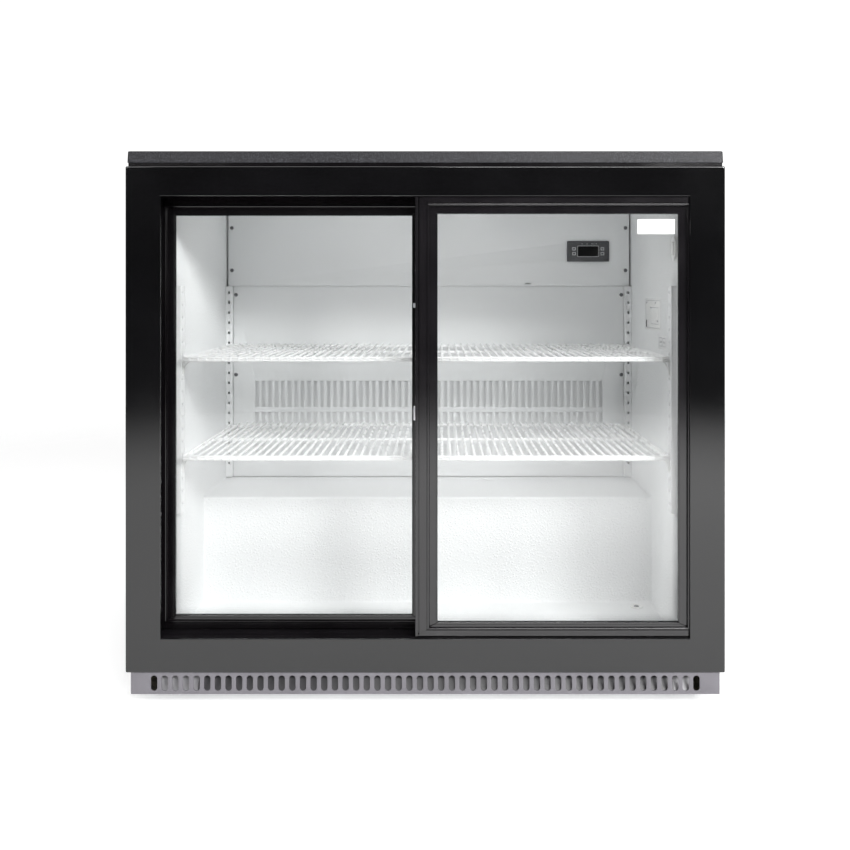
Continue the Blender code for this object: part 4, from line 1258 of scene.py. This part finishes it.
def give_materials():
    """Finishes for the CAD nodes whose shape already serves."""
    finishes = {
        "insulation_foam": "foam",
        "cord_gland": "dark",
        "evaporator_fan_housing": "galvanised",
        "evaporator_fan_blade": "dark",
        "condenser_fan_blade": "dark",
        "condenser": "machine",
        "compressor": "machine",
    }
    for node, key in finishes.items():
        smoothed(finish_cad(node, key), 30)


# ---------------------------------------------------------------- stage, light and camera


def make_stage():
    """A pale floor that fades out all round."""
    reach, fade_start, fade_end = 4.4, 1.7, 4.2
    bm = bmesh.new()
    bmesh.ops.create_circle(bm, cap_ends=True, segments=96, radius=reach)
    mesh = bpy.data.meshes.new("floor")
    bm.to_mesh(mesh)
    bm.free()
    floor = bpy.data.objects.new("floor", mesh)
    bpy.context.scene.collection.objects.link(floor)
    s = Shader("floor_pale", (0.86, 0.86, 0.86), 0.75)
    s.set(("Emission Color", (1, 1, 1, 1)), ("Emission Strength", FLOOR_GLOW))
    distance = s.node("ShaderNodeVectorMath", {0: s.place}, operation="LENGTH").outputs["Value"]
    cover = s.ranged(distance, fade_start, fade_end, 1, 0)
    clear = s.node("ShaderNodeBsdfTransparent")
    mixed = s.node("ShaderNodeMixShader", {0: cover, 1: clear.outputs[0], 2: s.bsdf.outputs[0]})
    s.tree.links.new(mixed.outputs[0], s.tree.nodes["Material Output"].inputs["Surface"])
    mesh.materials.append(s.material)


def make_world():
    """White to the camera; as a light, dim in front of the cabinet and brighter behind it."""
    world = bpy.data.worlds.new("studio")
    bpy.context.scene.world = world
    world.use_nodes = True
    tree = world.node_tree
    tree.nodes.clear()

    def node(kind, inputs=(), **settings):
        made = tree.nodes.new(kind)
        for key, value in settings.items():
            setattr(made, key, value)
        for socket, value in dict(inputs).items():
            if isinstance(value, bpy.types.NodeSocket):
                tree.links.new(value, made.inputs[socket])
            else:
                made.inputs[socket].default_value = value
        return made

    place = node("ShaderNodeTexCoord").outputs["Generated"]
    depth = node("ShaderNodeSeparateXYZ", {0: place}).outputs["Y"]
    span = {0: depth, 1: -0.75, 2: 0.35, 3: WORLD_FRONT, 4: WORLD_BACK}
    strength = node("ShaderNodeMapRange", span, interpolation_type="SMOOTHSTEP").outputs[0]
    light = node("ShaderNodeBackground", {"Strength": strength}).outputs[0]
    seen = node("ShaderNodeBackground", {"Color": (1, 1, 1, 1), "Strength": 1.1}).outputs[0]
    is_camera = node("ShaderNodeLightPath").outputs["Is Camera Ray"]
    mixed = node("ShaderNodeMixShader", {0: is_camera, 1: light, 2: seen}).outputs[0]
    node("ShaderNodeOutputWorld", {"Surface": mixed})


def softbox(name, place, target, width, height, power):
    light = bpy.data.lights.new(name, "AREA")
    light.shape = "RECTANGLE"
    light.size = width
    light.size_y = height
    light.energy = power
    obj = bpy.data.objects.new(name, light)
    bpy.context.scene.collection.objects.link(obj)
    obj.location = place
    obj.rotation_euler = (Vector(target) - Vector(place)).to_track_quat("-Z", "Y").to_euler()


FLOOR_GLOW = 0.45
WORLD_FRONT = 0.02
WORLD_BACK = 0.55


def make_lights():
    softbox("top_softbox", (0.0, -0.5, 3.4), (0, -0.1, 0.3), 3.0, 2.6, 60)
    softbox("front_softbox", (1.0, -4.2, 2.8), (0, 0, 0.35), 2.0, 0.8, 100)
    softbox("right_softbox", (2.0, -2.8, 2.0), (0, 0, 0.35), 1.0, 0.9, 92)
    softbox("left_softbox", (-1.95, -2.9, 1.95), (0, 0, 0.4), 0.9, 0.8, 20)
    softbox("cabin_light", (0.0, -0.165, 0.780), (0.0, 0.0, 0.20), 0.60, 0.02, 0.5)


def make_camera():
    """Level camera in front of the doors, a little right of centre, framed by shift alone."""
    data = bpy.data.cameras.new("camera")
    data.sensor_width = 36.0
    data.lens = 33.9
    data.shift_x = -0.0165
    data.shift_y = -0.1552
    data.clip_start = 0.05
    camera = bpy.data.objects.new("camera", data)
    bpy.context.scene.collection.objects.link(camera)
    camera.location = (0.0207, FRONT - 1.2, 0.6285)
    camera.rotation_euler = (math.pi / 2, 0, 0)
    bpy.context.scene.camera = camera


make_front_frame()
make_worktop()
make_side_panels()
make_back()
make_rear_grille()
make_kick_grille()
make_base()
make_feet()
make_door("front_door")
make_door("rear_door")
make_door_trim()
make_rollers()
make_track()
make_liner()
make_air_panel()
make_pilasters()
make_shelf("shelf_lower")
make_shelf("shelf_upper")
make_clips()
make_thermostat()
make_light()
make_labels()
make_evaporator()
give_materials()
make_stage()
make_world()
make_lights()
make_camera()
bpy.context.scene.view_settings.view_transform = "Standard"
